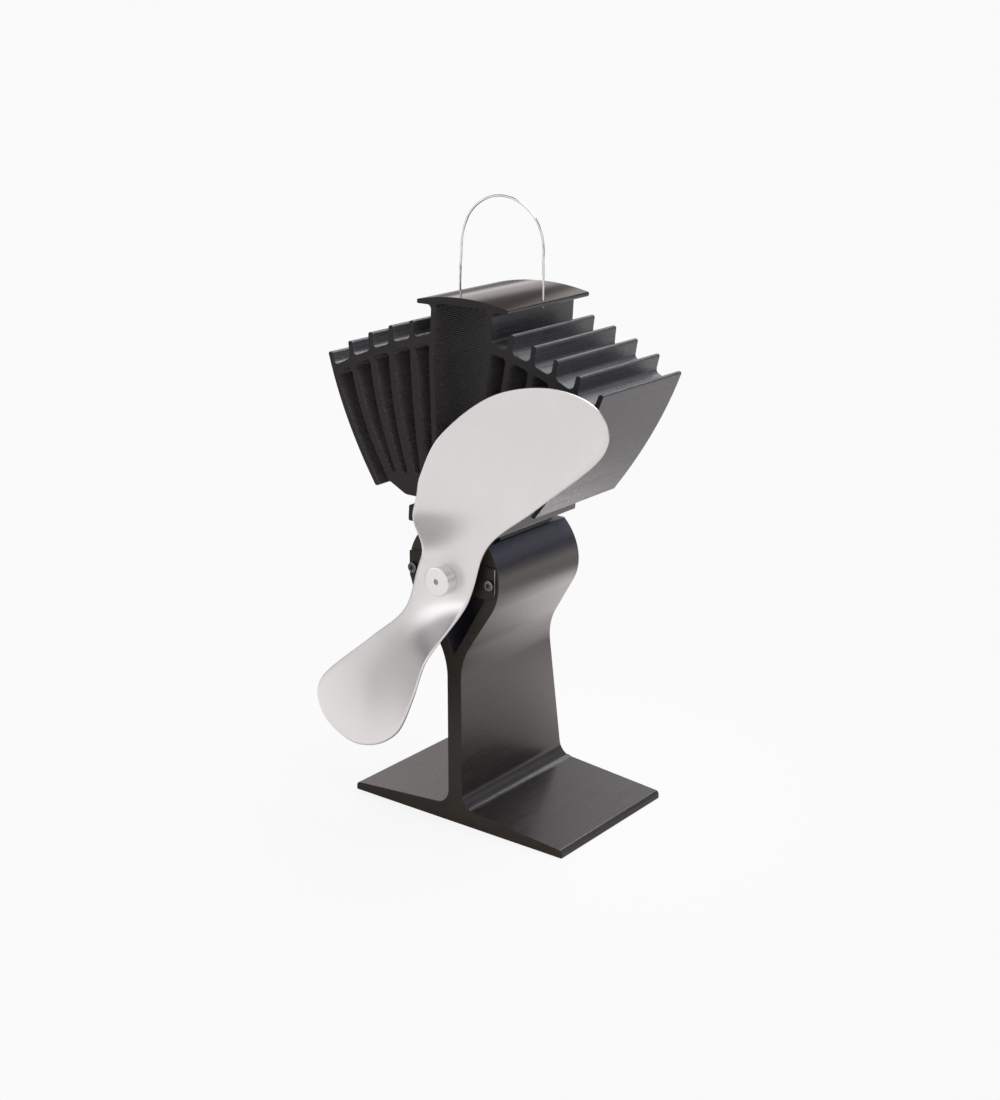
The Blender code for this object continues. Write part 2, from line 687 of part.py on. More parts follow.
def heat_sink_outline():
    """Return the heat sink's outer outline, from the slab up over the fins to the cap."""
    last = FIN_COUNT - 1
    slab_top = SLAB_BOTTOM + SLAB_THICKNESS
    bowl = slab_top + NECK_HEIGHT
    lip = bowl + BOWL_LIP_RISE
    inner, outer = gap_faces(last)
    free_foot = SLAB_BOTTOM + FREE_FIN_FOOT_RISE
    right = [
        (SLAB_WIDTH / 2, SLAB_BOTTOM, SLAB_RADIUS),
        (SLAB_WIDTH / 2, slab_top, SLAB_RADIUS),
        (NECK_WIDTH / 2, slab_top, NECK_FILLET),
        (NECK_WIDTH / 2, bowl, NECK_FILLET),
        (BOWL_FLAT_WIDTH / 2, bowl, BOWL_FLAT_RADIUS),
        (inner(lip), lip, BOWL_LIP_RADIUS),
    ]
    under_inner = meeting(inner, web_under, WEB_UNDER_FILLET)
    under_outer = meeting(outer, web_under, WEB_UNDER_FILLET)
    right += along(inner, lip, under_inner[1])
    right += [under_inner, under_outer]
    right += along(outer, under_outer[1], free_foot)
    right += [(fin_face(last, side, free_foot), free_foot, FIN_END_RADIUS) for side in (-1, 1)]
    right += along(lambda height: fin_face(last, 1, height), free_foot, fin_crest(1.0))
    for fin in range(last, -1, -1):
        inner, outer = gap_faces(fin)
        right += fin_tip(fin)
        right.append(meeting(outer, web_top, WEB_TOP_FILLET))
        right.append(meeting(inner, web_top, WEB_TOP_FILLET))
    edge_top = CAP_UNDER + CAP_EDGE_THICKNESS
    right.append((COLUMN_WIDTH / 2, CAP_UNDER, CAP_FILLET))
    right.append((CAP_WIDTH / 2, CAP_UNDER, CAP_EDGE_RADIUS))
    for step in range(CROWN_STEPS + 1):
        share = 1 - step / CROWN_STEPS
        crown = CAP_CROWN * (1 - share * share)
        radius = CAP_EDGE_RADIUS if step == 0 else 0
        right.append((CAP_WIDTH / 2 * share, edge_top + crown, radius))
    return round_corners(mirrored(right))


def cell_outline(gap, side):
    """Return one closed gap between two fins, under the web."""
    inner, outer = gap_faces(gap)
    floor_inner = meeting(inner, cell_floor, CELL_FLOOR_FILLET)
    floor_outer = meeting(outer, cell_floor, CELL_FLOOR_FILLET)
    under_outer = meeting(outer, web_under, WEB_UNDER_FILLET)
    under_inner = meeting(inner, web_under, WEB_UNDER_FILLET)
    corners = [floor_inner, floor_outer]
    corners += along(outer, floor_outer[1], under_outer[1])
    corners += [under_outer, under_inner]
    corners += along(inner, under_inner[1], floor_inner[1])
    return round_corners([(side * x, z, radius) for x, z, radius in corners])


def channel_outline():
    """Return the channel through the middle of the column, under the cap."""
    shoulder = SLAB_BOTTOM + COLUMN_SHOULDER_RISE
    top = CAP_UNDER + CAP_EDGE_THICKNESS + CAP_CROWN - CAP_MIDDLE_THICKNESS
    heights = ((CHANNEL_FLOOR, CHANNEL_FILLET), (shoulder, 0), (top, CHANNEL_FILLET))
    right = [(column_face(height) - COLUMN_WALL, height, radius) for height, radius in heights]
    return round_corners(mirrored(right))


def make_heat_sink():
    """Make the heat sink extrusion, sawn to a lean, with its clamp and bail holes."""
    outlines = [heat_sink_outline(), channel_outline()]
    for gap in range(FIN_COUNT - 1):
        for side in (-1, 1):
            outlines.append(cell_outline(gap, side))
    lean = (HEAT_SINK_LEAN, SLAB_BOTTOM)
    mesh = prism("heat_sink", outlines, SLAB_FRONT, HEAT_SINK_DEPTH, *lean)
    sink = add_object("heat_sink", mesh, "black_anodised")
    end = CHANNEL_FLOOR_RISE + CUT_OVERRUN
    places = clamp_places(SLAB_BOTTOM)
    drill_holes(sink, "sink_drill", CLAMP_SHANK_RADIUS, -CUT_OVERRUN, end, places, True)
    end = CAP_EDGE_THICKNESS + CAP_CROWN + CUT_OVERRUN
    half = BAIL_SPAN / 2
    places = {"left": (-half, BAIL_PLACE, CAP_UNDER), "right": (half, BAIL_PLACE, CAP_UNDER)}
    drill_holes(sink, "bail_drill", BAIL_WIRE_RADIUS, -CUT_OVERRUN, end, places, True)


def square(half, low, high):
    """Return the corner pair of a square block over the module, between two heights."""
    return (-half, SLAB_MIDDLE - half, low), (half, SLAB_MIDDLE + half, high)


def make_module():
    """Make the module: two ceramic plates joined by rows of pellets, with its pads and seal."""
    half = MODULE_SIZE / 2
    low = MODULE_MIDDLE - MODULE_THICKNESS / 2
    high = MODULE_MIDDLE + MODULE_THICKNESS / 2
    mesh = boxes("thermoelectric_module", [square(half, low, high)])
    module = add_object("thermoelectric_module", mesh, "ceramic")
    lane = (MODULE_SIZE - PELLET_ROWS * PELLET_SIZE) / (PELLET_ROWS + 1)
    floor = low + MODULE_PLATE_THICKNESS
    roof = high - MODULE_PLATE_THICKNESS
    reach = half + CUT_OVERRUN
    across = []
    through = []
    for row in range(PELLET_ROWS + 1):
        start = row * (lane + PELLET_SIZE) - half
        end = start + lane if row < PELLET_ROWS else reach
        start = start if row else -reach
        across.append(((-reach, SLAB_MIDDLE + start, floor), (reach, SLAB_MIDDLE + end, roof)))
        through.append(((start, SLAB_MIDDLE - reach, floor), (end, SLAB_MIDDLE + reach, roof)))
    combine(module, "DIFFERENCE", boxes("lanes_across", across))
    combine(module, "DIFFERENCE", boxes("lanes_through", through))
    for name, start in (
        ("thermal_pad_lower", BULB_TOP + PAD_GAP),
        ("thermal_pad_upper", SLAB_BOTTOM - PAD_GAP - PAD_THICKNESS),
    ):
        add_object(name, boxes(name, [square(half, start, start + PAD_THICKNESS)]), "graphite")


def make_seal():
    """Make the seal round three sides of the module, open at the back for the leads."""
    inner = MODULE_SIZE / 2 + SEAT_GAP
    outer = inner + SEAL_WALL
    low = BULB_TOP + PAD_GAP
    high = SLAB_BOTTOM - PAD_GAP
    seal = add_object(
        "module_seal", boxes("module_seal", [square(outer, low, high)]), "black_silicone"
    )
    hollow_low, hollow_high = square(inner, low - CUT_OVERRUN, high + CUT_OVERRUN)
    opened = (hollow_high[0], hollow_high[1] + CUT_OVERRUN, hollow_high[2])
    combine(seal, "DIFFERENCE", boxes("seal_hollow", [(hollow_low, opened)]))


def make_clamps():
    """Make the four clamp screws and the spring washers under their heads."""
    washer_low = CHANNEL_FLOOR + SEAT_GAP
    bore = CLAMP_SHANK_RADIUS + SEAT_GAP
    profile = [
        (bore, WASHER_DISH),
        (WASHER_RADIUS, 0),
        (WASHER_RADIUS, WASHER_THICKNESS),
        (bore, WASHER_THICKNESS + WASHER_DISH),
    ]
    washer = turned("clamp_washer", profile, SMALL_SEGMENTS, upright=True)
    for corner, place in clamp_places(washer_low).items():
        add_object(f"clamp_washer_{corner}", washer, "zinc_steel", place)
    head = washer_low + WASHER_DISH + WASHER_THICKNESS + SEAT_GAP
    tip = BULB_TOP - CLAMP_DEPTH - head
    profile = [
        (0, tip),
        (CLAMP_SHANK_RADIUS, tip),
        (CLAMP_SHANK_RADIUS, 0),
        (CLAMP_HEAD_RADIUS, 0),
        (CLAMP_HEAD_RADIUS, CLAMP_HEAD_HEIGHT),
        (CLAMP_SOCKET_RADIUS, CLAMP_HEAD_HEIGHT),
        (CLAMP_SOCKET_RADIUS, CLAMP_HEAD_HEIGHT - CLAMP_SOCKET_DEPTH),
        (0, CLAMP_HEAD_HEIGHT - CLAMP_SOCKET_DEPTH),
    ]
    screw = turned("clamp_screw", profile, SMALL_SEGMENTS, upright=True)
    for corner, place in clamp_places(head).items():
        add_object(f"clamp_screw_{corner}", screw, "zinc_steel", place)


def make_bracket():
    """Make the motor bracket: two ears over the bulb's front, joined by the motor's collar."""
    half = BRACKET_WIDTH / 2
    right = [(half, -BRACKET_DROP, BRACKET_FOOT_RADIUS), (half, BRACKET_RISE, BRACKET_TOP_RADIUS)]
    outline = round_corners(mirrored(right))
    plate = prism("motor_bracket", [outline], BRACKET_FRONT, BRACKET_THICKNESS)
    bracket = add_object("motor_bracket", plate, "black_steel", MOTOR_PLACE)
    middle = BRACKET_FRONT + BRACKET_THICKNESS / 2
    end = BRACKET_BACK + COLLAR_LENGTH
    collar = prism("motor_collar", [circle(COLLAR_RADIUS)], middle, end - middle)
    combine(bracket, "UNION", collar, MOTOR_PLACE)
    start = BRACKET_FRONT - CUT_OVERRUN
    bore = prism("collar_bore", [circle(COLLAR_BORE)], start, end + CUT_OVERRUN - start)
    combine(bracket, "DIFFERENCE", bore, MOTOR_PLACE)
    hole = rod("bracket_hole", BRACKET_SCREW_RADIUS + SEAT_GAP, start, BASE_FRONT)
    holes = copies("bracket_holes", hole, bracket_screw_places().values())
    combine(bracket, "DIFFERENCE", holes, MOTOR_PLACE)


def make_bracket_screws():
    """Make the two socket screws that hold the bracket on the bulb's arms."""
    head_back = BRACKET_FRONT - SEAT_GAP
    head_front = head_back - BRACKET_HEAD_HEIGHT
    socket = head_front + BRACKET_SOCKET_DEPTH
    end = head_back + BRACKET_SCREW_LENGTH
    profile = [
        (0, socket),
        (BRACKET_SOCKET_RADIUS, socket),
        (BRACKET_SOCKET_RADIUS, head_front),
        (BRACKET_HEAD_RADIUS, head_front),
        (BRACKET_HEAD_RADIUS, head_back),
        (BRACKET_SCREW_RADIUS, head_back),
        (BRACKET_SCREW_RADIUS, end),
        (0, end),
    ]
    screw = turned("bracket_screw", profile, SMALL_SEGMENTS)
    for side, place in bracket_screw_places(AXIS_HEIGHT).items():
        add_object(f"bracket_screw_{side}", screw, "zinc_steel", place)


def make_motor_case():
    """Make the motor's drawn steel can, open behind, with a boss in front for its bush."""
    boss_front = MOTOR_FRONT - BOSS_LENGTH
    inside = MOTOR_FRONT + MOTOR_WALL
    profile = [
        (BUSH_SEAT, boss_front),
        (BOSS_RADIUS, boss_front),
        (BOSS_RADIUS, MOTOR_FRONT),
        (MOTOR_RADIUS - MOTOR_EDGE_RADIUS, MOTOR_FRONT),
        (MOTOR_RADIUS, MOTOR_FRONT + MOTOR_EDGE_RADIUS),
        (MOTOR_RADIUS, MOTOR_BACK),
        (MOTOR_BORE, MOTOR_BACK),
        (MOTOR_BORE, inside),
        (BUSH_SEAT, inside),
    ]
    add_object("motor_case", turned("motor_case", profile), "zinc_steel", MOTOR_PLACE)


def terminal_box(side, grown=0):
    """Return the corner pair of a terminal, grown on every side."""
    low = side * TERMINAL_SPACING / 2 - TERMINAL_THICKNESS / 2 - grown
    start = FLANGE_FRONT - TERMINAL_ROOT - grown
    width = TERMINAL_WIDTH / 2 + grown
    high = low + TERMINAL_THICKNESS + 2 * grown
    return (low, start, -width), (high, TERMINAL_END + grown, width)


def make_end_cap():
    """Make the motor's plastic end cap, which plugs the can and holds a bush and the terminals."""
    plug = MOTOR_BORE - SEAT_GAP
    boss = BUSH_SEAT + END_CAP_WALL
    profile = [
        (BUSH_SEAT, FLANGE_FRONT),
        (plug - END_CAP_WALL, FLANGE_FRONT),
        (plug - END_CAP_WALL, FLANGE_FRONT - END_CAP_PLUG),
        (plug, FLANGE_FRONT - END_CAP_PLUG),
        (plug, FLANGE_FRONT),
        (MOTOR_RADIUS, FLANGE_FRONT),
        (MOTOR_RADIUS, FLANGE_BACK),
        (boss, FLANGE_BACK),
        (boss, FLANGE_BACK + END_CAP_BOSS),
        (BUSH_SEAT, FLANGE_BACK + END_CAP_BOSS),
    ]
    mesh = turned("motor_end_cap", profile)
    cap = add_object("motor_end_cap", mesh, "black_plastic", MOTOR_PLACE)
    slots = boxes("terminal_slots", [terminal_box(side, SEAT_GAP) for side in (-1, 1)])
    combine(cap, "DIFFERENCE", slots, MOTOR_PLACE)


def make_bushes():
    """Make the two bronze bushes that the motor's shaft turns in."""
    front = MOTOR_FRONT - BOSS_LENGTH
    rear = FLANGE_BACK + END_CAP_BOSS - BUSH_LENGTH
    for name, start in (("front_bush", front), ("rear_bush", rear)):
        bush = tube(name, SHAFT_BORE, BUSH_RADIUS, start, start + BUSH_LENGTH)
        add_object(name, bush, "bronze", MOTOR_PLACE)


def make_magnets():
    """Make the two curved magnets inside the can."""
    for name, middle in (("magnet_left", math.pi), ("magnet_right", 0.0)):
        start = middle - MAGNET_SPAN / 2
        end = middle + MAGNET_SPAN / 2
        outer = arc(MAGNET_RADIUS, start, end, MAGNET_STEPS)
        inner = arc(MAGNET_RADIUS - MAGNET_THICKNESS, end, start, MAGNET_STEPS)
        outline = [Vector(corner[:2]) for corner in outer + inner]
        mesh = prism(name, [outline], MAGNET_FRONT, MAGNET_LENGTH)
        add_object(name, mesh, "ferrite", MOTOR_PLACE)


def make_brushes_and_terminals():
    """Make the brushes, leaves bent outwards at their feet, and the terminals that they meet."""
    foot_back = FLANGE_FRONT - SEAT_GAP
    foot_front = foot_back - BRUSH_FOOT_THICKNESS
    foot_reach = TERMINAL_SPACING / 2 - TERMINAL_THICKNESS / 2 - SEAT_GAP
    leaf_front = BRUSH_MIDDLE - BRUSH_WIDTH / 2
    leaf_back = BRUSH_OFFSET + BRUSH_THICKNESS
    outline = [
        (BRUSH_OFFSET, leaf_front),
        (leaf_back, leaf_front),
        (leaf_back, foot_front),
        (foot_reach, foot_front),
        (foot_reach, foot_back),
        (BRUSH_OFFSET, foot_back),
    ]
    half = BRUSH_WIDTH / 2
    for name, side in (("left", -1), ("right", 1)):
        build = bmesh.new()
        low = [build.verts.new((side * x, y, -half)) for x, y in outline]
        extrude(build, [build.faces.new(low)], (0, 0, BRUSH_WIDTH))
        brush = finish_mesh(f"brush_{name}", build, smooth=False)
        add_object(f"brush_{name}", brush, "copper", MOTOR_PLACE)
        terminal = boxes(f"terminal_{name}", [terminal_box(side)])
        add_object(f"terminal_{name}", terminal, "zinc_steel", MOTOR_PLACE)


def lead_route(side):
    """Return a lead's route: out behind the module, down behind the bulb and in to the motor."""
    start = SLAB_MIDDLE + MODULE_SIZE / 2 + SEAT_GAP
    edge = BASE_DEPTH / 2 - BACK_STEP - BACK_LEAN * (BULB_TOP - PLATE_ROOT_THICKNESS)
    end = TERMINAL_END + SEAT_GAP
    behind = edge + LEAD_REACH
    wide = side * LEAD_SPACING / 2
    near = side * TERMINAL_SPACING / 2
    entry = edge + LEAD_RADIUS + AIR_GAP
    return [
        (wide, start, MODULE_MIDDLE),
        (wide, start + (edge - start) * LEAD_RUN_SHARE, MODULE_MIDDLE),
        (wide, entry + AIR_GAP, MODULE_MIDDLE),
        ((wide + near) / 2, behind, MODULE_MIDDLE - LEAD_DROP),
        (near, entry + AIR_GAP, AXIS_HEIGHT + SEAT_GAP),
        (near, end + (edge - end) * LEAD_RUN_SHARE, AXIS_HEIGHT),
        (near, end, AXIS_HEIGHT),
    ]


def make_leads():
    """Make the red and the black lead from the module to the motor's terminals."""
    for name, side, finish in (("lead_red", -1, "red_sleeve"), ("lead_black", 1, "black_sleeve")):
        wire(name, smooth_route(lead_route(side), LEAD_STEPS), LEAD_RADIUS, finish)


def make_bail():
    """Make the wire bail: two legs through the cap's lips, peened below, and a half ellipse."""
    half = BAIL_SPAN / 2
    shoulder = CAP_UNDER + BAIL_LEG
    foot = CAP_UNDER - SEAT_GAP
    peen = BAIL_FOOT_RADIUS / BAIL_WIRE_RADIUS
    low = foot - BAIL_FOOT_THICKNESS
    leg = [(low, peen), ((low + foot) / 2, peen), (foot, 1.0)]
    points = [(-half, BAIL_PLACE, height) for height, share in leg]
    shares = [share for height, share in leg]
    for step in range(BAIL_STEPS + 1):
        turn = math.pi * step / BAIL_STEPS
        height = shoulder + (BAIL_RISE - BAIL_LEG) * math.sin(turn)
        points.append((-half * math.cos(turn), BAIL_PLACE, height))
        shares.append(1.0)
    points += [(half, BAIL_PLACE, height) for height, share in reversed(leg)]
    shares += [share for height, share in reversed(leg)]
    wire("handle_bail", points, BAIL_WIRE_RADIUS, "bright_wire", shares)


def core_outline():
    """Return the armature's outline: a hub, with a stem and a wide shoe for each pole."""
    shoe = CORE_RADIUS - CORE_SHOE_THICKNESS
    side = CORE_STEM_WIDTH / 2
    reach = math.pi / POLE_COUNT - CORE_SLOT_WIDTH / CORE_RADIUS / 2
    edge = [
        (CORE_HUB_RADIUS, -math.asin(side / CORE_HUB_RADIUS)),
        (shoe, -math.asin(side / shoe)),
        (shoe, -reach),
    ]
    back = [(radius, -turn) for radius, turn in reversed(edge)]
    return ring_outline(edge + radial_arc(CORE_RADIUS, reach) + back, POLE_COUNT)


def radial_arc(radius, reach):
    """Return the (radius, angle) corners of an arc that reaches as far to both sides."""
    return [(radius, reach * (2 * step / SHOE_STEPS - 1)) for step in range(SHOE_STEPS + 1)]


def ring_outline(sector, count):
    """Return the outline of a sector's (radius, angle) corners, repeated round the axis."""
    points = []
    for index in range(count):
        middle = math.pi / 2 + math.tau * index / count
        for radius, turn in sector:
            angle = middle + turn
            points.append(Vector((radius * math.cos(angle), radius * math.sin(angle))))
    return points


def make_armature(axis):
    """Make the armature's core, its three coils and the commutator, which turn with the shaft."""
    bore = circle(SHAFT_BORE, SMALL_SEGMENTS)
    start = CORE_MIDDLE - CORE_LENGTH / 2
    core = prism("armature_core", [core_outline(), bore], start, CORE_LENGTH)
    add_object("armature_core", core, "zinc_steel", MOTOR_PLACE, axis)
    inner = CORE_STEM_WIDTH / 2 + SEAT_GAP, CORE_LENGTH / 2 + SEAT_GAP
    outlines = []
    for wide, long in (inner, (inner[0] + COIL_THICKNESS, inner[1] + COIL_THICKNESS)):
        outlines.append([(-wide, -long), (wide, -long), (wide, long), (-wide, long)])
    coil = prism("armature_coil", outlines, CORE_HUB_RADIUS + SEAT_GAP, COIL_HEIGHT)
    upright = Matrix.Rotation(math.pi / 2, 4, "X")
    place = (0, CORE_MIDDLE, AXIS_HEIGHT)
    for pole in range(POLE_COUNT):
        turn = Matrix.Rotation(math.tau * pole / POLE_COUNT, 4, "Y")
        winding = add_object(f"armature_coil_{pole + 1}", coil, "copper", place, axis)
        winding.rotation_euler = (turn @ upright).to_euler()
    reach = math.pi / POLE_COUNT - COMMUTATOR_SLOT_WIDTH / COMMUTATOR_RADIUS / 2
    floor = COMMUTATOR_RADIUS - COMMUTATOR_SLOT_DEPTH
    sector = [(floor, -reach), *radial_arc(COMMUTATOR_RADIUS, reach), (floor, reach)]
    outlines = [ring_outline(sector, POLE_COUNT), bore]
    commutator = prism("commutator", outlines, COMMUTATOR_FRONT, COMMUTATOR_LENGTH)
    add_object("commutator", commutator, "copper", MOTOR_PLACE, axis)


def make_shaft_and_hub(axis):
    """Make the motor's shaft, the turned hub on its end and the collar behind the blade."""
    tail = FLANGE_BACK + END_CAP_BOSS + SHAFT_TAIL
    shaft = rod("motor_shaft", SHAFT_RADIUS, HUB_FACE + HUB_SHAFT_RECESS, tail)
    add_object("motor_shaft", shaft, "zinc_steel", MOTOR_PLACE, axis)
    profile = [
        (SHAFT_BORE, HUB_FACE),
        (HUB_RADIUS - HUB_EDGE_RADIUS, HUB_FACE),
        (HUB_RADIUS, HUB_FACE + HUB_EDGE_RADIUS),
        (HUB_RADIUS, HUB_BACK),
        (HUB_SPIGOT_RADIUS, HUB_BACK),
        (HUB_SPIGOT_RADIUS, COLLAR_BACK),
        (SHAFT_BORE, COLLAR_BACK),
    ]
    add_object("hub", turned("hub", profile), "turned_aluminium", MOTOR_PLACE, axis)
    bore = HUB_SPIGOT_RADIUS + SEAT_GAP
    collar = tube("blade_collar", bore, BLADE_COLLAR_RADIUS, COLLAR_FRONT, COLLAR_BACK)
    add_object("blade_collar", collar, "turned_aluminium", MOTOR_PLACE, axis)


def blade_height(along, across):
    """Return how far back the blade's middle surface lies, flat at the hub and pitched outside.

    Each wing is pitched about its own length, less so towards its tip. It is carried forward and
    is cambered across its width.
    """
    start = (abs(along) - HUB_RADIUS) / (BLADE_BEND_REACH - HUB_RADIUS)
    bend = max(0.0, min(start, 1.0))
    bend = bend * bend * (3 - 2 * bend)
    out = abs(along) / BLADE_RADIUS
    pitch = BLADE_PITCH_ROOT + (BLADE_PITCH_TIP - BLADE_PITCH_ROOT) * out
    carry = BLADE_CARRY_ROOT + (BLADE_CARRY_TIP - BLADE_CARRY_ROOT) * out
    camber = BLADE_CAMBER_ROOT + (BLADE_CAMBER_TIP - BLADE_CAMBER_ROOT) * out
    camber *= (across / BLADE_CAMBER_REACH) ** 2
    side = math.copysign(1.0, along)
    return BLADE_MIDDLE - bend * (side * across * math.tan(pitch) + carry + camber)


def blade_edge():
    """Return the blade's upper edge, from its left tip to its right one, as flat points."""
    half = [Vector(share) * BLADE_RADIUS for share in BLADE_EDGE_SHARES]
    whole = half + [-point for point in half]
    count = len(whole)
    edge = []
    for index in range(-1, len(half)):
        near = [whole[(index + shift) % count] for shift in (-1, 0, 1, 2)]
        steps = range(BLADE_EDGE_STEPS)
        if index < 0:
            steps = range(BLADE_EDGE_STEPS // 2, BLADE_EDGE_STEPS)
        if index == len(half) - 1:
            steps = range(BLADE_EDGE_STEPS // 2 + 1)
        edge += [catmull_rom(*near, step / BLADE_EDGE_STEPS) for step in steps]
    return edge


def make_blade(axis):
    """Make the blade, one sheet with two equal wings, ruled between its two edges."""
    upper = blade_edge()
    lower = [-point for point in reversed(upper)]
    span = Vector((math.cos(BLADE_REST_ANGLE), 0, math.sin(BLADE_REST_ANGLE)))
    chord = Vector((-math.sin(BLADE_REST_ANGLE), 0, math.cos(BLADE_REST_ANGLE)))
    build = bmesh.new()
    rows = []
    for index, (top, bottom) in enumerate(zip(upper, lower)):
        row = []
        for step in range(BLADE_WIDTH_STEPS + 1):
            along, across = bottom.lerp(top, step / BLADE_WIDTH_STEPS)
            depth = Vector((0, blade_height(along, across), 0))
            if index in (0, len(upper) - 1) and row:
                row.append(row[0])
                continue
            row.append(build.verts.new(span * along + chord * across + depth))
        rows.append(row)
    for near, far in zip(rows, rows[1:]):
        for step in range(BLADE_WIDTH_STEPS):
            corners = (near[step], near[step + 1], far[step + 1], far[step])
            build.faces.new(list(dict.fromkeys(corners)))
    mesh = finish_mesh("fan_blade", build)
    blade = add_object("fan_blade", mesh, "satin_aluminium", MOTOR_PLACE, axis)
    sheet = blade.modifiers.new("thickness", "SOLIDIFY")
    sheet.thickness = BLADE_THICKNESS
    sheet.offset = 0.0
    hole = HUB_SPIGOT_RADIUS + SEAT_GAP
    start = BLADE_FRONT - CUT_OVERRUN
    drill = prism("blade_bore", [circle(hole)], start, BLADE_BACK + CUT_OVERRUN - start)
    combine(blade, "DIFFERENCE", drill, MOTOR_PLACE, axis)


def make_rotor():
    """Make everything that turns, hung from an empty on the motor's axis."""
    axis = bpy.data.objects.new("fan_axis", None)
    bpy.context.collection.objects.link(axis)
    axis.location = MOTOR_PLACE
    make_armature(axis)
    make_shaft_and_hub(axis)
    make_blade(axis)


clear_scene()
make_base()
make_heat_sink()
make_module()
make_seal()
make_clamps()
make_bracket()
make_bracket_screws()
make_motor_case()
make_end_cap()
make_bushes()
make_magnets()
make_brushes_and_terminals()
make_leads()
make_bail()
make_rotor()
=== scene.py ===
"""Looks of a stove fan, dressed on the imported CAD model.

The black base and heat sink are rebuilt as extrusions with finer curves, grooved fins and sawn
ends. The blade, hub, bracket, screws, washers and bail are rebuilt with finer surfaces. Every
other CAD node stays, with a better material. Sizes are in millimetres until a mesh is made.
"""
import math
from functools import partial

import bmesh
import bpy
import numpy as np
from mathutils import Matrix, Vector
from mathutils.geometry import tessellate_polygon


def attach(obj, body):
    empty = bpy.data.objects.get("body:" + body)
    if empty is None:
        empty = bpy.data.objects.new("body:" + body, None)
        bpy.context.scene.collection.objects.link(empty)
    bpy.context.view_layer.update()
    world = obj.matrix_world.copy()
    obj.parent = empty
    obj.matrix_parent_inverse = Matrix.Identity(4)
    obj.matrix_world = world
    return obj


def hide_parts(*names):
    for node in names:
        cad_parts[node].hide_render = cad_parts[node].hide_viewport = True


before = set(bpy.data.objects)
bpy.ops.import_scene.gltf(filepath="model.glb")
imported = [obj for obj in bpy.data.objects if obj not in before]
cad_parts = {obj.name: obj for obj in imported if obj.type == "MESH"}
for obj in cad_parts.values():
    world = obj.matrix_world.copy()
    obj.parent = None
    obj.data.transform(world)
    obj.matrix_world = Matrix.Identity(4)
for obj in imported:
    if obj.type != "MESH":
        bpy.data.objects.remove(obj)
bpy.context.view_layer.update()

MM = 0.001

# The least by which a cutter reaches past the metal
CUT_MARGIN = 2.0

# Clearance and motor sizes, as in the CAD source
SEAT_GAP = 0.3
MOTOR_RADIUS = 10.0
COLLAR_BORE = MOTOR_RADIUS + SEAT_GAP
COLLAR_RADIUS = COLLAR_BORE + 0.9
COLLAR_LENGTH = 6.5
ARCH_RADIUS = COLLAR_RADIUS + SEAT_GAP
CAVITY_RADIUS = ARCH_RADIUS + 4.4
BULB_RADIUS = CAVITY_RADIUS + 5.0
AXIS_HEIGHT = 99.3
BULB_TOP = AXIS_HEIGHT + ARCH_RADIUS + 2.4

# Base extrusion
BASE_WIDTH = 100.0
BASE_DEPTH = 65.6
BASE_FRONT = -BASE_DEPTH / 2
PLATE_EDGE_THICKNESS = 3.1
PLATE_ROOT_THICKNESS = 7.0
PLATE_EDGE_RADIUS = 1.9
PLATE_FOOT_RADIUS = 0.4
FOOT_FILLET = 6.2
STEM_THICKNESS = 6.5
BULB_TOP_RADIUS = 0.7
ARM_ANGLE = math.radians(56.5)
ARM_FILLET = 26.0
NOTCH_DROP = 31.4
SHOULDER_RISE = 5.3
SHOULDER_FILLET = 1.0
BASE_CHAMFER = 0.2
BACK_STEP = 0.9
BACK_LEAN = 0.16

# Heat sink extrusion
SLAB_BOTTOM = BULB_TOP + 3.7
SLAB_FRONT = BASE_FRONT - 1.0
HEAT_SINK_DEPTH = 49.4
HEAT_SINK_LEAN = 0.085
HEAT_SINK_CHAMFER = 0.12
SLAB_MIDDLE = SLAB_FRONT + HEAT_SINK_DEPTH / 2
SLAB_WIDTH = 40.4
SLAB_THICKNESS = 5.9
SLAB_RADIUS = 0.7
NECK_WIDTH = 30.0
NECK_HEIGHT = 3.5
NECK_FILLET = 1.4
BOWL_FLAT_WIDTH = 44.0
BOWL_FLAT_RADIUS = 5.0
BOWL_LIP_RISE = 3.9
BOWL_LIP_RADIUS = 1.0
FIN_COUNT = 5
FIN_TIP_FIRST = 22.6
FIN_TIP_PITCH = 9.7
FIN_CREST_RISE = 73.0
FIN_CREST_DROP = 15.8
FIN_CREST_BOW = 1.5
FIN_FOOT_FIRST = 12.6
FIN_FOOT_PITCH = 5.4
FIN_FOOT_RISE = 13.4
FREE_FIN_FOOT_OFFSET = 35.8
FREE_FIN_FOOT_RISE = 10.5
FIN_TIP_THICKNESS = 2.1
FIN_FOOT_THICKNESS = 3.3
FIN_END_RADIUS = 0.9
FIN_BOW = 3.2
FIN_BOW_SHARES = (0.4, 0.95, 1.0, 1.15, 0.75)
WEB_INNER_RISE = 68.8
WEB_OUTER_RISE = 51.0
WEB_BOW = 1.8
WEB_THICKNESS = 3.0
WEB_TOP_FILLET = 1.7
WEB_UNDER_FILLET = 1.7
CELL_FLOOR_RISE = 18.6
CELL_FLOOR_DROP = 2.6
CELL_FLOOR_FILLET = 1.2
COLUMN_WIDTH = 27.6
COLUMN_FOOT_WIDTH = 19.2
COLUMN_SHOULDER_RISE = 61.0
COLUMN_WALL = 2.4
CHANNEL_FLOOR_RISE = 12.6
CHANNEL_FILLET = 0.6
CAP_WIDTH = 40.8
CAP_UNDER = SLAB_BOTTOM + 79.5
CAP_EDGE_THICKNESS = 1.5
CAP_CROWN = 2.2
CAP_EDGE_RADIUS = 0.4
CAP_FILLET = 1.8
CAP_MIDDLE_THICKNESS = 2.9
CROWN_STEPS = 12

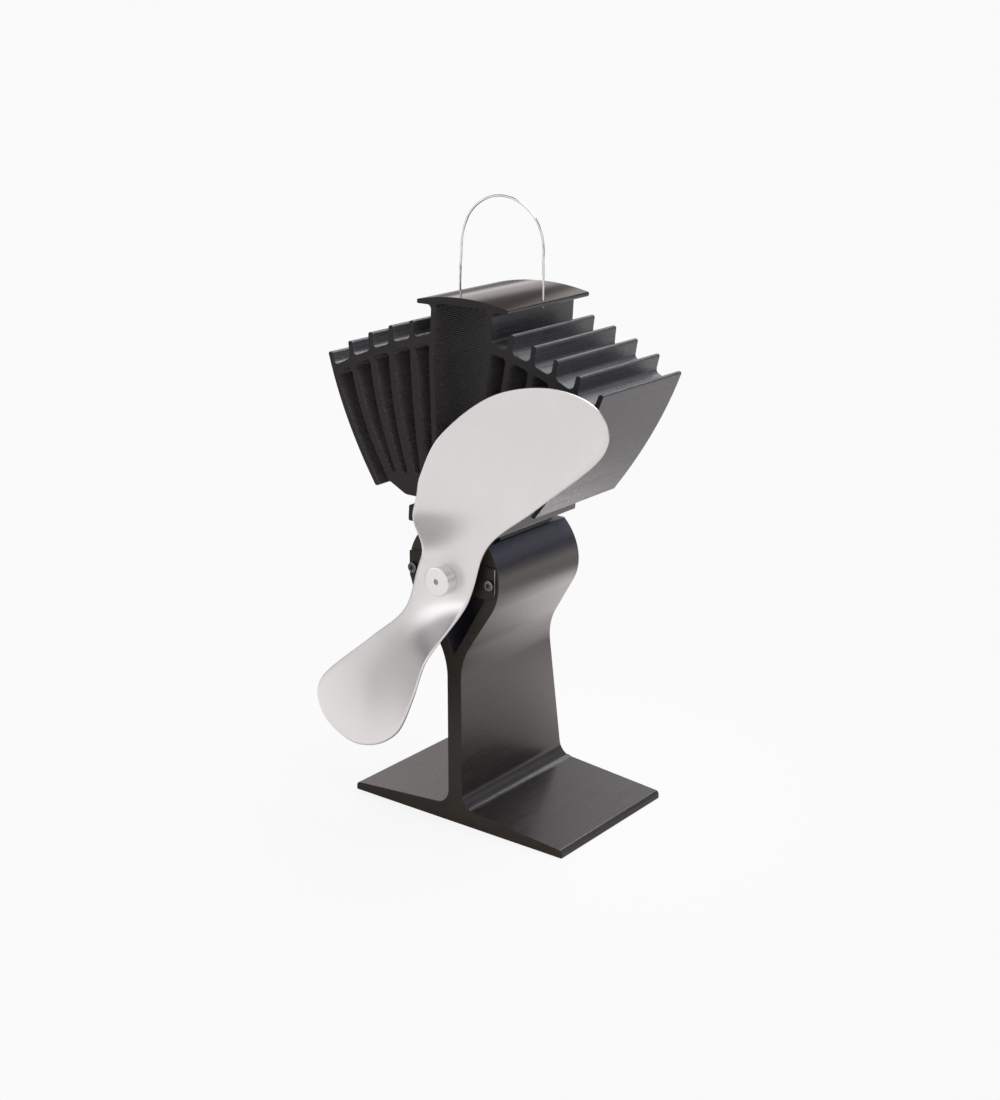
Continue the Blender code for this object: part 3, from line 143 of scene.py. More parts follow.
# Grooves that the extrusion die leaves along the fins and the channel
GROOVE_PITCH = 0.77
GROOVE_STEPS = 4
DEEP_GROOVE = 0.17
FIN_GROOVE = 0.08
SHALLOW_GROOVE = 0.05

# Bracket and screws
BRACKET_WIDTH = 39.6
BRACKET_THICKNESS = 0.9
BRACKET_RISE = 6.3
BRACKET_DROP = 5.9
BRACKET_TOP_RADIUS = 0.6
BRACKET_FOOT_RADIUS = 3.2
BRACKET_CHAMFER = 0.18
BRACKET_BACK = BASE_FRONT - SEAT_GAP
BRACKET_FRONT = BRACKET_BACK - BRACKET_THICKNESS
BRACKET_SCREW_OFFSET = (CAVITY_RADIUS + BRACKET_WIDTH / 2) / 2
BRACKET_SCREW_LENGTH = 8.0

# Blade and hub
HUB_FACE = BASE_FRONT - 9.9
HUB_RADIUS = 5.6
HUB_SPIGOT_RADIUS = 3.0
BLADE_MIDDLE = BASE_FRONT - 4.5
BLADE_THICKNESS = 1.0
BLADE_RADIUS = 95.57
BLADE_REST_ANGLE = math.radians(60.2)
BLADE_EDGE_SHARES = (
    (-0.977, 0.224), (-0.849, 0.311), (-0.503, 0.191), (-0.247, 0.098), (-0.036, 0.129),
    (0.272, 0.172), (0.405, 0.200), (0.590, 0.205), (0.809, 0.126), (0.948, -0.040),
)
LOWER_WING_TRIMS = ((17, (0.0, 0.6)), (18, (0.6, 2.6)), (19, (0.3, 0.4)))
BLADE_PITCH_ROOT = math.radians(32.8)
BLADE_PITCH_TIP = math.radians(17.4)
BLADE_BEND_START = 6.0
BLADE_BEND_REACH = 30.0
BLADE_BEND_WAY = (0.84, 0.54)
BLADE_CARRY_ROOT = 3.6
BLADE_CARRY_TIP = 1.8
BLADE_CAMBER_ROOT = 13.8
BLADE_CAMBER_TIP = 4.3
BLADE_CAMBER_REACH = 30.0
BLADE_RIM = 0.45
BLADE_RIM_STEPS = (0, 0.03, 0.12, 0.26, BLADE_RIM)
BLADE_EDGE_STEPS = 12
BLADE_COLUMNS = 24
BLADE_BORE_RADIUS = 3.3

# The hub's outline as (radius, distance behind its face), then behind its back
HUB_BORE = 1.02
HUB_BLADE_GAP = 0.02
SPIGOT_PAST_GAP = 1.2
HUB_FRONT = ((HUB_BORE, 0.3), (1.05, 0.06), (1.12, 0.02), (2.2, 0.03), (4.7, 0), (5.15, 0.01),
             (5.38, 0.08), (5.53, 0.22), (HUB_RADIUS, 0.45))
HUB_BACK = ((HUB_RADIUS, -0.06), (5.57, -0.02), (5.5, 0), (HUB_SPIGOT_RADIUS, 0))

# Holes, and screws as (head radius, head height, shank radius)
CLAMP_HALF_WIDTH = 3.5
CLAMP_HALF_LENGTH = 19.5
CLAMP_HOLE_RADIUS = 1.55
CLAMP_SCREW = (2.25, 2.5, 1.25)
CLAMP_SCREW_BITE = 1.6
BRACKET_HOLE_RADIUS = 1.3
BRACKET_SCREW = (1.9, 0.9, 1.0)
BAIL_HOLE_RADIUS = 0.8
SCREW_TIP_LENGTH = 0.35
SCREW_TIP_STEP = 0.3
SCREW_SEGMENTS = 48

# A screw head's outline as shares of its radius and height, from the socket's floor outwards
SCREW_HEAD = ((0, 0.38), (0.468, 0.42), (0.52, 0.5), (0.52, 0.93), (0.572, 1), (0.78, 1),
              (0.92, 0.93), (0.985, 0.8), (1, 0.62))

# How worn the rings of the whole screw are, and which of them are hexagonal
SCREW_WEAR = (0, 0, 0, 0.6, 1, 0.3, 1, 0.8, 0.2, 0, 0, 0, 0, 0, 0)
SOCKET_ROWS = (1, 2, 3)

# A dished washer's height, and its outline as (radius, height)
WASHER_HEIGHT = 0.85
WASHER = ((CLAMP_HOLE_RADIUS, 0.35), (2.0, 0.17), (2.34, 0.01), (2.4, 0.08), (2.4, 0.46),
          (2.33, 0.52), (2.0, 0.66), (1.6, 0.84), (CLAMP_HOLE_RADIUS, 0.8))

# Bail
BAIL_PLACE = SLAB_MIDDLE + HEAT_SINK_LEAN * (CAP_UNDER - SLAB_BOTTOM) - 1.7
BAIL_WIRE_RADIUS = 0.43
WIRE_SEGMENTS = 16
BAIL_BEND_HEIGHTS = (200, 205, 211, 216.5, 219, 221, 224, 228.6, 231, 233.4, 234.2)
BAIL_LEFT_BENDS = (0, 0.1, 0.65, 0.9, 0.8, 0.45, 0, 0, 0, 0, 0)
BAIL_RIGHT_BENDS = (0.2, 0.15, 0, 0.1, 0.6, 0.9, 1.3, 1.3, 1.0, 0.8, 0)
BAIL_BEND_SPREAD = 21
BAIL_SPAN = 37.6
BAIL_RISE = 37.3
BAIL_LEG = 16.4
BAIL_FOOT_THICKNESS = 0.25
BAIL_FOOT_RADII = (0, 0.6, 0.7, 0.75, 0.75, 0.7, 0.6, BAIL_WIRE_RADIUS)

# Studio, in metres, with levels that are shares of paper white
BACKGROUND_LEVEL = 0.956
STUDIO_TINT = (1.0, 0.965, 0.955)
CEILING_TINT = (0.8, 0.88, 1.0)
SHADOW_HELD = 0.9
STUDIO_LEVEL = 1.0
DOME_RADIUS = 1.5
DOME_RINGS = 25
DOME_SEGMENTS = 64
FLOOR_REACH = 60.0
FLOOR_GREY = (0.86, 0.86, 0.86)

# How bright the walls are, as (sine of the height angle, level)
WALL_STOPS = ((0.0, 0.9), (0.13, 0.2), (0.2, 0.16), (0.235, 1.4), (0.265, 1.3), (0.3, 0.75),
              (0.36, 1.2), (0.48, 1.3), (0.54, 0.55), (0.62, 0.28), (0.8, 0.25))

# Parts of the walls: level directions, and the cosines and sines between which each sets in
FRONT_WALL_WAY = (-0.1, -0.995, 0)
FRONT_WALL_COSINES = (0.62, 0.78)
FRONT_WALL_LEVEL = 1.05
DARK_CARD_WAY = (-0.601, 0.799, 0)
DARK_CARD_COSINES = (0.988, 0.997)
DARK_CARD_SINES = (0.33, 0.4)
DARK_CARD_LEVEL = 0.1
CEILING_SINES = (0.48, 0.7)
COOL_WALL_WAY = (0.64, 0.768, 0)
COOL_WALL_COSINES = (0.86, 0.97)
COOL_WALL_SINES = (0.04, 0.12)

# Changes of the studio's level: direction, cosines it sets in by, and (two distances, change)
STUDIO_CHANGES = (
    ((-0.72, -0.69, 0), 0.93, 0.99, ((0.28, 0.38, 0.18),)),
    ((-1.0, 0.0, 0), 0.81, 0.87, ((0.21, 0.34, -0.48),)),
    ((-1.0, 0.0, 0), 0.7, 0.87, ((0.26, 0.18, 0.15),)),
    ((-0.819, -0.574, 0), 0.94, 0.985, ((0.22, 0.27, -0.5), (0.31, 0.36, 0.32))),
    ((0.0, -1.0, 0), 0.8, 0.95, ((0.2, 0.35, -0.06),)),
    ((0.61, 0.79, 0), 0.8, 0.93, ((0.31, 0.38, 0.25), (0.45, 0.62, -0.35), (0.7, 1.2, -0.3),
                                  (0.13, 0.17, -0.3), (0.26, 0.31, 0.12))),
    ((0.1, 0.995, 0), 0.86, 0.96, ((0.2, 0.13, 1.3),)),
)

# The floor's shade by the base as reflections see it, its shadow, and the world
BASE_SHADE_NEAR = 0.05
BASE_SHADE_REACH = 0.14
BASE_SHADE_LEVEL = 0.3
WORLD_STRENGTH = 0.6
SHADOW_REACH = (0.05, 0.16)
SEEN_RAYS = ("Is Camera Ray", "Is Glossy Ray", "Is Transmission Ray")

# Camera, fitted to the photograph
CAMERA_PLACE = (0.39931, -0.52658, 0.30854)
CAMERA_AZIMUTH = math.radians(37.415)
CAMERA_ELEVATION = math.radians(17.452)
CAMERA_LENS = 59.89

# Finishes of an extrusion's faces by slot: the third is the cap's crown, or the base's hollow
DRAWN = 0
SAWN = 1
POLISHED = 2
HOLLOW = 2
CELL = 3
CHANNEL = 4


class Value:
    """A number in a shader, whose arithmetic adds Math nodes to its tree."""

    def __init__(self, tree, socket):
        self.tree = tree
        self.socket = socket

    def worked(self, operation, *values):
        node = self.tree.nodes.new("ShaderNodeMath")
        node.operation = operation
        for slot, value in zip(node.inputs, values):
            feed(self.tree, slot, value)
        return Value(self.tree, node.outputs[0])

    def __add__(self, other):
        return self.worked("ADD", self, other)

    def __radd__(self, other):
        return self.worked("ADD", other, self)

    def __sub__(self, other):
        return self.worked("SUBTRACT", self, other)

    def __rsub__(self, other):
        return self.worked("SUBTRACT", other, self)

    def __mul__(self, other):
        return self.worked("MULTIPLY", self, other)

    def __rmul__(self, other):
        return self.worked("MULTIPLY", other, self)

    def __truediv__(self, other):
        return self.worked("DIVIDE", self, other)

    def sine(self):
        return self.worked("SINE", self)


def feed(tree, slot, value):
    """Link a value's socket to an input, or set the input to a plain number or colour."""
    if isinstance(value, Value):
        tree.links.new(value.socket, slot)
    elif isinstance(value, (tuple, list)) and slot.type == "RGBA":
        slot.default_value = (*value, 1.0)[:4]
    else:
        slot.default_value = value


class Nodes:
    """A shader's node tree, with one method that adds a node of any kind."""

    def __init__(self, tree):
        self.tree = tree

    def node(self, kind, settings=None, inputs=None, output=0):
        """Add a node of any kind: its settings first, then its sockets' values or links."""
        node = self.tree.nodes.new(kind)
        for name, value in (settings or {}).items():
            if name == "stops":
                set_stops(node.color_ramp, value)
            else:
                setattr(node, name, value)
        for name, value in (inputs or {}).items():
            feed(self.tree, node.inputs[name], value)
        return Value(self.tree, node.outputs[output])

    def rays(self, *kinds):
        """Return 1 for a ray of the named kinds, and 0 for any other."""
        return sum((self.node("ShaderNodeLightPath", output=kind) for kind in kinds), 0.0)


class Finish(Nodes):
    """A material in the making: its Principled shader and what feeds it."""

    def __init__(self, name, **constants):
        self.material = bpy.data.materials.new(name)
        self.material.use_nodes = True
        super().__init__(self.material.node_tree)
        self.set(**constants)

    def set(self, **inputs):
        """Set or link the shader's inputs, named with underlines for spaces."""
        for name, value in inputs.items():
            feed(self.tree, self.tree.nodes["Principled BSDF"].inputs[name.replace("_", " ")], value)

    def vector(self, operation, *values, output=0):
        """Return what a Vector Math node makes of the values."""
        inputs = dict(enumerate(values))
        return self.node("ShaderNodeVectorMath", {"operation": operation}, inputs, output)

    def place(self, scale=(1, 1, 1), centre=(0, 0, 0), turn=(0, 0, 0)):
        """Return Object coordinates in metres, centred, turned and stretched."""
        moved = self.vector("SUBTRACT", self.node("ShaderNodeTexCoord", output="Object"), centre)
        return self.node("ShaderNodeMapping", {}, {"Vector": moved, "Rotation": turn, "Scale": scale})

    def noise(self, scale, detail=2.0, roughness=0.5, turn=(0, 0, 0), place=None):
        """Return noise from 0 to 1, with one scale or with one for each axis of a turned frame."""
        if isinstance(scale, tuple):
            place = self.place(scale, turn=turn)
            scale = 1.0
        inputs = {"Vector": place or self.place(), "Scale": scale, "Detail": detail,
                  "Roughness": roughness}
        return self.node("ShaderNodeTexNoise", {}, inputs)

    def waves(self, direction, scale, distortion, detail_scale):
        """Return sine waves from 0 to 1 along a direction, a little distorted."""
        settings = {"bands_direction": direction, "wave_profile": "SIN"}
        inputs = {"Vector": self.place(), "Scale": scale, "Distortion": distortion,
                  "Detail Scale": detail_scale}
        return self.node("ShaderNodeTexWave", settings, inputs, 1)

    def rib(self):
        """Return the mesh's own mark of crests, where the drawn finishes paint highlights, and of
        edges that are rubbed bright.
        """
        return self.node("ShaderNodeAttribute", {"attribute_name": "rib"}, {}, "Fac")

    def between(self, value, low, high, course="LINEAR"):
        """Return a value stretched so that low gives 0 and high gives 1, held within both."""
        inputs = {"Value": value, "From Min": low, "From Max": high}
        return self.node("ShaderNodeMapRange", {"interpolation_type": course}, inputs)

    def smooth(self, value, low, high):
        """Return the smooth step of a value: 0 below low and 1 above high."""
        return self.between(value, low, high, "SMOOTHSTEP")

    def risen(self, low, high):
        """Return the smooth step of the height above the ground, in metres."""
        height = self.node("ShaderNodeSeparateXYZ", {}, {"Vector": self.place()}, "Z")
        return self.smooth(height, low, high)

    def towards(self, way, direction, low, high):
        """Return the smooth step of the cosine between a way and a direction."""
        cosine = self.vector("DOT_PRODUCT", way, direction, output="Value")
        return self.smooth(cosine, low, high)

    def mix(self, share, first, second):
        """Return a colour between two others."""
        return self.node("ShaderNodeMix", {"data_type": "RGBA"}, {0: share, 6: first, 7: second}, 2)

    def complete(self, share, low, high, roughness, height, depth, strength=0.5):
        """Return the material, with a colour from low to high, a roughness and a bump.

        The bump's height spans 0 to 1, over a depth in metres.
        """
        bump = {"Height": height, "Distance": depth, "Strength": strength}
        self.set(Base_Color=self.mix(share, low, high), Roughness=roughness)
        self.set(Normal=self.node("ShaderNodeBump", {}, bump))
        return self.material

    def show(self, shader):
        """Let another shader take the Principled shader's place."""
        feed(self.tree, self.tree.nodes["Material Output"].inputs["Surface"], shader)


def set_stops(ramp, stops):
    """Give a colour ramp its (place, grey value) stops."""
    while len(ramp.elements) < len(stops):
        ramp.elements.new(1.0)
    for element, (place, value) in zip(ramp.elements, stops):
        element.position = place
        element.color = (value, value, value, 1.0)


def brushed_black():
    """Black anodised aluminium with fine streaks along Y, as the base's long faces have, painted
    lighter and bluish on the bulb's top.
    """
    finish = Finish("base_brushed_black_painted_top_light", IOR=1.8, Specular_Tint=(1.0, 0.94, 0.915))
    streaks = finish.noise((2000, 110, 2000), 3.0, 0.65)
    broad = finish.noise((300, 14, 300))
    cloud = finish.noise(26.0, 3.0)
    tone = finish.between(0.75 * streaks + 0.25 * broad, 0.3, 0.7)
    dark = finish.mix(tone, (0.003, 0.0023, 0.0021), (0.023, 0.0195, 0.0183))
    warm = finish.mix(0.35 * cloud, dark, (0.018, 0.013, 0.010))
    # Painted light: from 97 mm up the colour turns lighter and bluish, standing in for the blue back
    # light that the bulb's shaded top reflects
    return finish.complete(finish.risen(0.097, 0.122), warm, (0.041, 0.047, 0.086),
                           0.24 + 0.05 * tone + 0.04 * cloud, tone, 0.0000012)


# Painted highlight and shade: rubbed is the colour of the ribs' crests, a painted highlight, and dark
# that of their troughs, painted shade
def drawn_black(name, dark, rubbed, depth, ior):
    """Black anodised aluminium as drawn from the die, grained, with painted highlights on its ribs'
    crests and painted shade in their troughs.
    """
    finish = Finish(name, IOR=ior)
    grain = finish.noise(2000.0, 2.0, 0.75)
    coarse = finish.noise(620.0)
    draw = finish.noise((800, 30, 800))
    cloud = finish.noise(34.0, 3.0)
    tone = finish.between(0.5 * grain + 0.25 * coarse + 0.25 * draw, 0.36, 0.64)
    share = finish.between(0.62 * finish.rib() + 0.38 * tone, 0.2, 0.9)
    dust = tuple(0.5 * (low + high) for low, high in zip(dark, rubbed))
    return finish.complete(0.3 * cloud, finish.mix(share, dark, rubbed), dust,
                           0.25 + 0.26 * tone, tone, depth, 0.8)


def sawn_black(name, colour, worn, upper):
    """A sawn and blackened end face, with the saw's shallow marks and its own tint higher up."""
    finish = Finish(name, IOR=1.3)
    marks = finish.noise((60, 60, 1500), 2.0, 0.6)
    grain = finish.noise(1500.0)
    cloud = finish.noise(45.0, 3.0)
    tone = finish.between(0.5 * marks + 0.3 * grain + 0.2 * cloud, 0.34, 0.66)
    return finish.complete(finish.risen(0.1, 0.12), finish.mix(tone, colour, worn), upper,
                           0.46 + 0.2 * tone, tone, 0.00002, 0.45)


def polished_black():
    """The cap's crown: black anodised aluminium, polished and a little brown."""
    finish = Finish("cap_polished_black", IOR=1.43, Specular_Tint=(1.0, 0.92, 0.86))
    streaks = finish.noise((700, 12, 700))
    cloud = finish.noise(30.0, 4.0)
    specks = finish.between(finish.noise(1700.0, 1.0), 0.72, 0.8)
    tone = finish.between(0.5 * streaks + 0.5 * cloud, 0.35, 0.65)
    brown = finish.mix(tone, (0.014, 0.009, 0.0065), (0.022, 0.0145, 0.011))
    return finish.complete(0.25 * specks, brown, (0.09, 0.08, 0.07),
                           0.11 + 0.02 * tone + 0.1 * specks, streaks, 0.00001, 0.25)


def satin_aluminium():
    """The blade's rolled aluminium, with a fine satin grain and faint handling marks."""
    finish = Finish("blade_satin_aluminium", Metallic=1.0)
    grain = finish.noise(2600.0, 2.0, 0.7)
    rolled = finish.noise((420, 420, 30), turn=(0, -BLADE_REST_ANGLE, 0))
    cloud = finish.noise(24.0, 4.0)
    tone = finish.between(0.4 * grain + 0.1 * rolled + 0.5 * cloud, 0.36, 0.64)
    return finish.complete(tone, (0.68, 0.68, 0.68), (0.75, 0.75, 0.75), 0.31 + 0.06 * tone,
                           0.9 * grain + 0.1 * rolled, 0.0000018)


def turned_aluminium():
    """Bright aluminium from the lathe, with rings about the motor's axis."""
    finish = Finish("hub_turned_aluminium", Metallic=1.0)
    centred = finish.place((1, 0, 1), centre=(0, 0, AXIS_HEIGHT * MM))
    radius = finish.vector("LENGTH", centred, output="Value")
    feed_marks = (math.tau * radius / 0.00022).sine()
    along_axis = finish.noise((0, 4200, 0))
    rings = finish.noise(1.0, place=finish.node("ShaderNodeCombineXYZ", {}, {"X": radius * 5200.0}))
    grain = finish.noise(2400.0)
    tone = finish.between(0.4 * along_axis + 0.4 * rings + 0.2 * grain, 0.34, 0.66)
    return finish.complete(tone, (0.70, 0.70, 0.70), (0.84, 0.84, 0.84), 0.24 + 0.12 * tone,
                           0.2 * feed_marks + tone, 0.000008)


def drawn_wire():
    """The bail's bright drawn steel wire, with faint lines and small dull spots."""
    finish = Finish("bail_drawn_wire", Metallic=1.0)
    drawn_lines = finish.noise((2600, 2600, 120))
    spots = finish.noise(260.0, 3.0)
    tone = finish.between(0.5 * drawn_lines + 0.5 * spots, 0.35, 0.65)
    return finish.complete(tone, (0.62, 0.62, 0.63), (0.82, 0.82, 0.82), 0.12 + 0.16 * tone,
                           spots, 0.00004, 0.6)


def black_oxide(name, colour, rubbed, ior, roughness):
    """Black oxide on steel, a little rubbed, with a fine grain and bright worn edges."""
    finish = Finish(name, IOR=ior)
    grain = finish.noise(1900.0, 2.0, 0.65)
    cloud = finish.noise(90.0, 3.0)
    rolled = finish.noise((90, 90, 1300))
    tone = finish.between(0.35 * grain + 0.35 * cloud + 0.3 * rolled, 0.36, 0.64)
    worn = finish.between(finish.rib() + 0.3 * tone, 0.8, 1.25)
    finish.set(Metallic=0.3 + 0.7 * worn)
    return finish.complete(worn, finish.mix(tone, colour, rubbed), (0.5, 0.49, 0.48),
                           roughness + 0.16 * tone, grain, 0.000008)


def zinc_plate():
    """Bright zinc plate on steel, faintly blue, with a soft bloom."""
    finish = Finish("bright_zinc_plate", Metallic=1.0)
    grain = finish.noise(1500.0)
    bloom = finish.noise(120.0, 4.0)
    tone = finish.between(0.4 * grain + 0.6 * bloom, 0.34, 0.66)
    return finish.complete(tone, (0.44, 0.46, 0.49), (0.62, 0.63, 0.63), 0.26 + 0.2 * tone,
                           grain, 0.00001, 0.4)


def laminated_steel():
    """The armature's core: thin steel sheets stacked along Y, varnished."""
    finish = Finish("core_laminated_steel", Metallic=0.85)
    sheets = finish.waves("Y", 320.0, 0.4, 60.0)
    stain = finish.noise(300.0, 3.0)
    return finish.complete(0.6 * sheets + 0.4 * stain, (0.14, 0.13, 0.12), (0.40, 0.39, 0.37),
                           0.4 + 0.15 * stain, sheets, 0.00005, 0.7)


def wound_copper():
    """A coil's enamelled copper wire, as fine turns with a varnish over them."""
    finish = Finish("coil_wound_copper", Metallic=0.9, Coat_Weight=0.4)
    turns = finish.waves("DIAGONAL", 1300.0, 0.8, 300.0)
    stain = finish.noise(500.0, 3.0)
    return finish.complete(0.6 * turns + 0.4 * stain, (0.33, 0.10, 0.035), (0.78, 0.33, 0.14),
                           0.28 + 0.12 * stain, turns, 0.00006, 0.8)


def strip_metal(name, low, high):
    """Plain strip or sintered metal with a soft grain."""
    finish = Finish(name, Metallic=1.0)
    grain = finish.noise(2200.0, 2.0, 0.7)
    tone = finish.between(0.5 * grain + 0.5 * finish.noise(180.0, 3.0), 0.35, 0.65)
    return finish.complete(tone, low, high, 0.3 + 0.2 * tone, grain, 0.00001)


def plain_matter(name, low, high, roughness, grain_scale, depth=0.00002, ior=1.45):
    """Ceramic, rubber, foil, plastic or ferrite: a mottled colour with a grain of its own size."""
    finish = Finish(name, IOR=ior)
    grain = finish.noise(grain_scale, 3.0, 0.65)
    cloud = finish.noise(grain_scale / 12, 3.0)
    tone = finish.between(0.55 * grain + 0.45 * cloud, 0.34, 0.66)
    return finish.complete(tone, low, high, roughness + 0.14 * tone, grain, depth, 0.6)


def add_object(name, data):
    """Add an object with a mesh, a lamp or a camera to the scene."""
    thing = bpy.data.objects.new(name, data)
    bpy.context.scene.collection.objects.link(thing)
    return thing


def closed_mesh(name, shape, materials, indices, ribs=None):
    """Make a closed mesh from points in millimetres and faces with material indices.

    Doubled points are merged, so poles and seams close, and the faces are turned outwards.
    """
    points, faces = shape
    mesh = bpy.data.meshes.new(name)
    mesh.from_pydata((np.asarray(points) * MM).tolist(), [], faces)
    for material in materials:
        mesh.materials.append(material)
    mesh.polygons.foreach_set("material_index", np.full(len(faces), indices, dtype=np.int32))
    if ribs is not None:
        mesh.attributes.new("rib", "FLOAT", "POINT").data.foreach_set("value", ribs)
    build = bmesh.new()
    build.from_mesh(mesh)
    bmesh.ops.remove_doubles(build, verts=build.verts, dist=1e-7)
    bmesh.ops.recalc_face_normals(build, faces=build.faces)
    build.to_mesh(mesh)
    build.free()
    return mesh


def shade(mesh, degrees):
    """Shade a mesh smoothly, but sharp at edges that turn by more than an angle."""
    mesh.shade_smooth()
    mesh.set_sharp_from_angle(angle=math.radians(degrees))


def make_piece(name, shape, materials, indices=0, body="stand", smooth=40, ribs=None):
    """Make a closed piece from points and faces, and let it ride on its body."""
    mesh = closed_mesh(name, shape, materials, indices, ribs)
    shade(mesh, smooth)
    thing = add_object(name, mesh)
    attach(thing, body)
    return thing


def cut(thing, cutters, smooth=40):
    """Cut closed (shape, material index) meshes out of a piece with exact Booleans."""
    for shape, index in cutters:
        guide = add_object("cutter", closed_mesh("cutter", shape, [], index))
        modifier = thing.modifiers.new("cut", "BOOLEAN")
        modifier.operation = "DIFFERENCE"
        modifier.solver = "EXACT"
        modifier.material_mode = "INDEX"
        modifier.object = guide
        bpy.context.view_layer.update()
        ready = thing.evaluated_get(bpy.context.evaluated_depsgraph_get())
        made = bpy.data.meshes.new_from_object(ready)
        thing.modifiers.clear()
        thing.data = made
        bpy.data.objects.remove(guide)
    shade(thing.data, smooth)


def ring_faces(rows, columns, closed_rows=False):
    """Return the quads of a grid of points whose columns close on themselves."""
    row = np.arange(rows if closed_rows else rows - 1)[:, None]
    column = np.arange(columns)[None, :]
    here = row * columns
    ahead = (row + 1) % rows * columns
    beside = (column + 1) % columns
    quads = np.stack([here + column, here + beside, ahead + beside, ahead + column], axis=-1)
    return quads.reshape(-1, 4).tolist()


def turned_surface(profile, middle, segments=64, upright=False, sides=0, sided=()):
    """Turn a closed (radius, place) profile about an axis through a middle.

    A point is at radius * (cos t, sin t) across the axis and at its place along it. In the rows
    that are sided, the radius grows to radius / cos(t') so that the ring is a regular polygon,
    with t' the angle from the middle of its side.
    """
    profile = np.asarray(profile, dtype=float)
    turn = np.arange(segments) * math.tau / segments
    radius = np.repeat(profile[:, :1], segments, axis=1)
    if sides:
        wedge = math.tau / sides
        flat = 1 / np.cos((turn + wedge / 2) % wedge - wedge / 2)
        radius[list(sided)] *= flat
    across = radius * np.cos(turn)
    over = radius * np.sin(turn)
    place = np.repeat(profile[:, 1:2], segments, axis=1)
    stacked = (across, over, place) if upright else (across, place, over)
    points = np.stack(stacked, axis=-1).reshape(-1, 3) + np.asarray(middle)
    return points, ring_faces(len(profile), segments, closed_rows=True)


def hole(radius, low, high, middle, segments=24, upright=True):
    """Return a cutter for a round hole that runs from low to high along an axis."""
    profile = ((0, low), (radius, low), (radius, high), (0, high))
    return turned_surface(profile, middle, segments, upright), DRAWN


def round_corners(corners, steps=8):
    """Return an outline's rows (x, z, groove, finish), with each corner rounded to its radius.

    A corner is (x, z, radius, groove, finish). Its arc is centre + used * (cos, sin), swept from
    one tangent point to the other; groove and finish belong to the face that starts there.
    """
    rows = []
    for index, (x, z, radius, groove, finish) in enumerate(corners):
        corner = np.array((x, z))
        back = np.array(corners[index - 1][:2]) - corner
        ahead = np.array(corners[(index + 1) % len(corners)][:2]) - corner
        if radius == 0:
            rows.append([x, z, groove, finish])
            continue
        back_length = np.hypot(*back)
        ahead_length = np.hypot(*ahead)
        back = back / back_length
        ahead = ahead / ahead_length
        half = math.acos(np.clip(back @ ahead, -1, 1)) / 2
        reach = min(radius / math.tan(half), 0.48 * min(back_length, ahead_length))
        used = reach * math.tan(half)
        middle = back + ahead
        centre = corner + middle / np.hypot(*middle) * used / math.sin(half)
        start = corner + back * reach - centre
        end = corner + ahead * reach - centre
        share = np.linspace(0, 1, steps + 1)[:, None]
        spokes = start + (end - start) * share
        spokes *= used / np.hypot(spokes[:, 0], spokes[:, 1])[:, None]
        rows += [[x, z, 0, finish] for x, z in centre + spokes]
        rows[-1][2] = groove
    return np.array(rows)


def mirrored(right):
    """Return a whole outline's corners from its right half, which runs from bottom to top."""
    left = []
    count = len(right)
    for index in range(count - 1, -1, -1):
        x, z, radius, _, _ = right[index]
        _, _, _, groove, finish = right[index - 1] if index else right[0]
        if x > 0:
            left.append((-x, z, radius, groove, finish))
    return right + left


def arc(radius, start, end, steps, middle):
    """Return the corners of an arc: middle + radius * (cos, sin) from one angle to another."""
    turn = np.linspace(start, end, steps + 1)
    x = middle[0] + radius * np.cos(turn)
    z = middle[1] + radius * np.sin(turn)
    return [(a, b, 0, 0, DRAWN) for a, b in zip(x, z)]


def grooved(rows):
    """Cut the die's grooves into an outline's grooved faces.

    Each grooved face is walked in steps of a quarter of the pitch. A point at length s moves into
    the metal by depth * (1 - cos(2 pi s / pitch)) / 2, and less within one pitch of its ends. The
    third column then tells crests, 1, from troughs, 0, with shallow grooves at 0.9 and 0.1, and
    is a half elsewhere.
    """
    closed = np.vstack([rows, rows[:1]])
    gaps = np.hypot(np.diff(closed[:, 0]), np.diff(closed[:, 1]))
    turn = np.roll(rows[:, 0], -1) * rows[:, 1] - rows[:, 0] * np.roll(rows[:, 1], -1)
    inward = -math.copysign(1.0, turn.sum())
    out = []
    index = 0
    count = len(rows)
    while index < count:
        depth = rows[index, 2]
        if depth == 0:
            out.append(rows[index:index + 1] * (1, 1, 0, 1) + (0, 0, 0.5, 0))
            index += 1
            continue
        last = index
        while last < count and rows[last, 2] == depth:
            last += 1
        run = closed[index:last + 1]
        length = np.concatenate([[0], np.cumsum(gaps[index:last])])
        steps = max(2, int(round(length[-1] / GROOVE_PITCH)) * GROOVE_STEPS)
        walked = np.linspace(0, length[-1], steps + 1)[:-1]
        x = np.interp(walked, length, run[:, 0])
        z = np.interp(walked, length, run[:, 1])
        slope = np.stack([np.gradient(x), np.gradient(z)], axis=1)
        slope /= np.hypot(slope[:, 0], slope[:, 1])[:, None]
        wave = (1 - np.cos(np.arange(steps) * math.tau / GROOVE_STEPS)) / 2
        near_end = np.minimum(walked, length[-1] - walked) / GROOVE_PITCH
        push = -inward * depth * wave * np.clip(near_end, 0, 1)
        grown = np.zeros((steps, 4))
        grown[:, 0] = x + slope[:, 1] * push
        grown[:, 1] = z - slope[:, 0] * push
        grown[:, 2] = 0.5 + (1.0 if depth > SHALLOW_GROOVE else 0.8) * (0.5 - wave)
        grown[:, 3] = run[0, 3]
        out.append(grown)
        index = last
    return np.vstack(out)


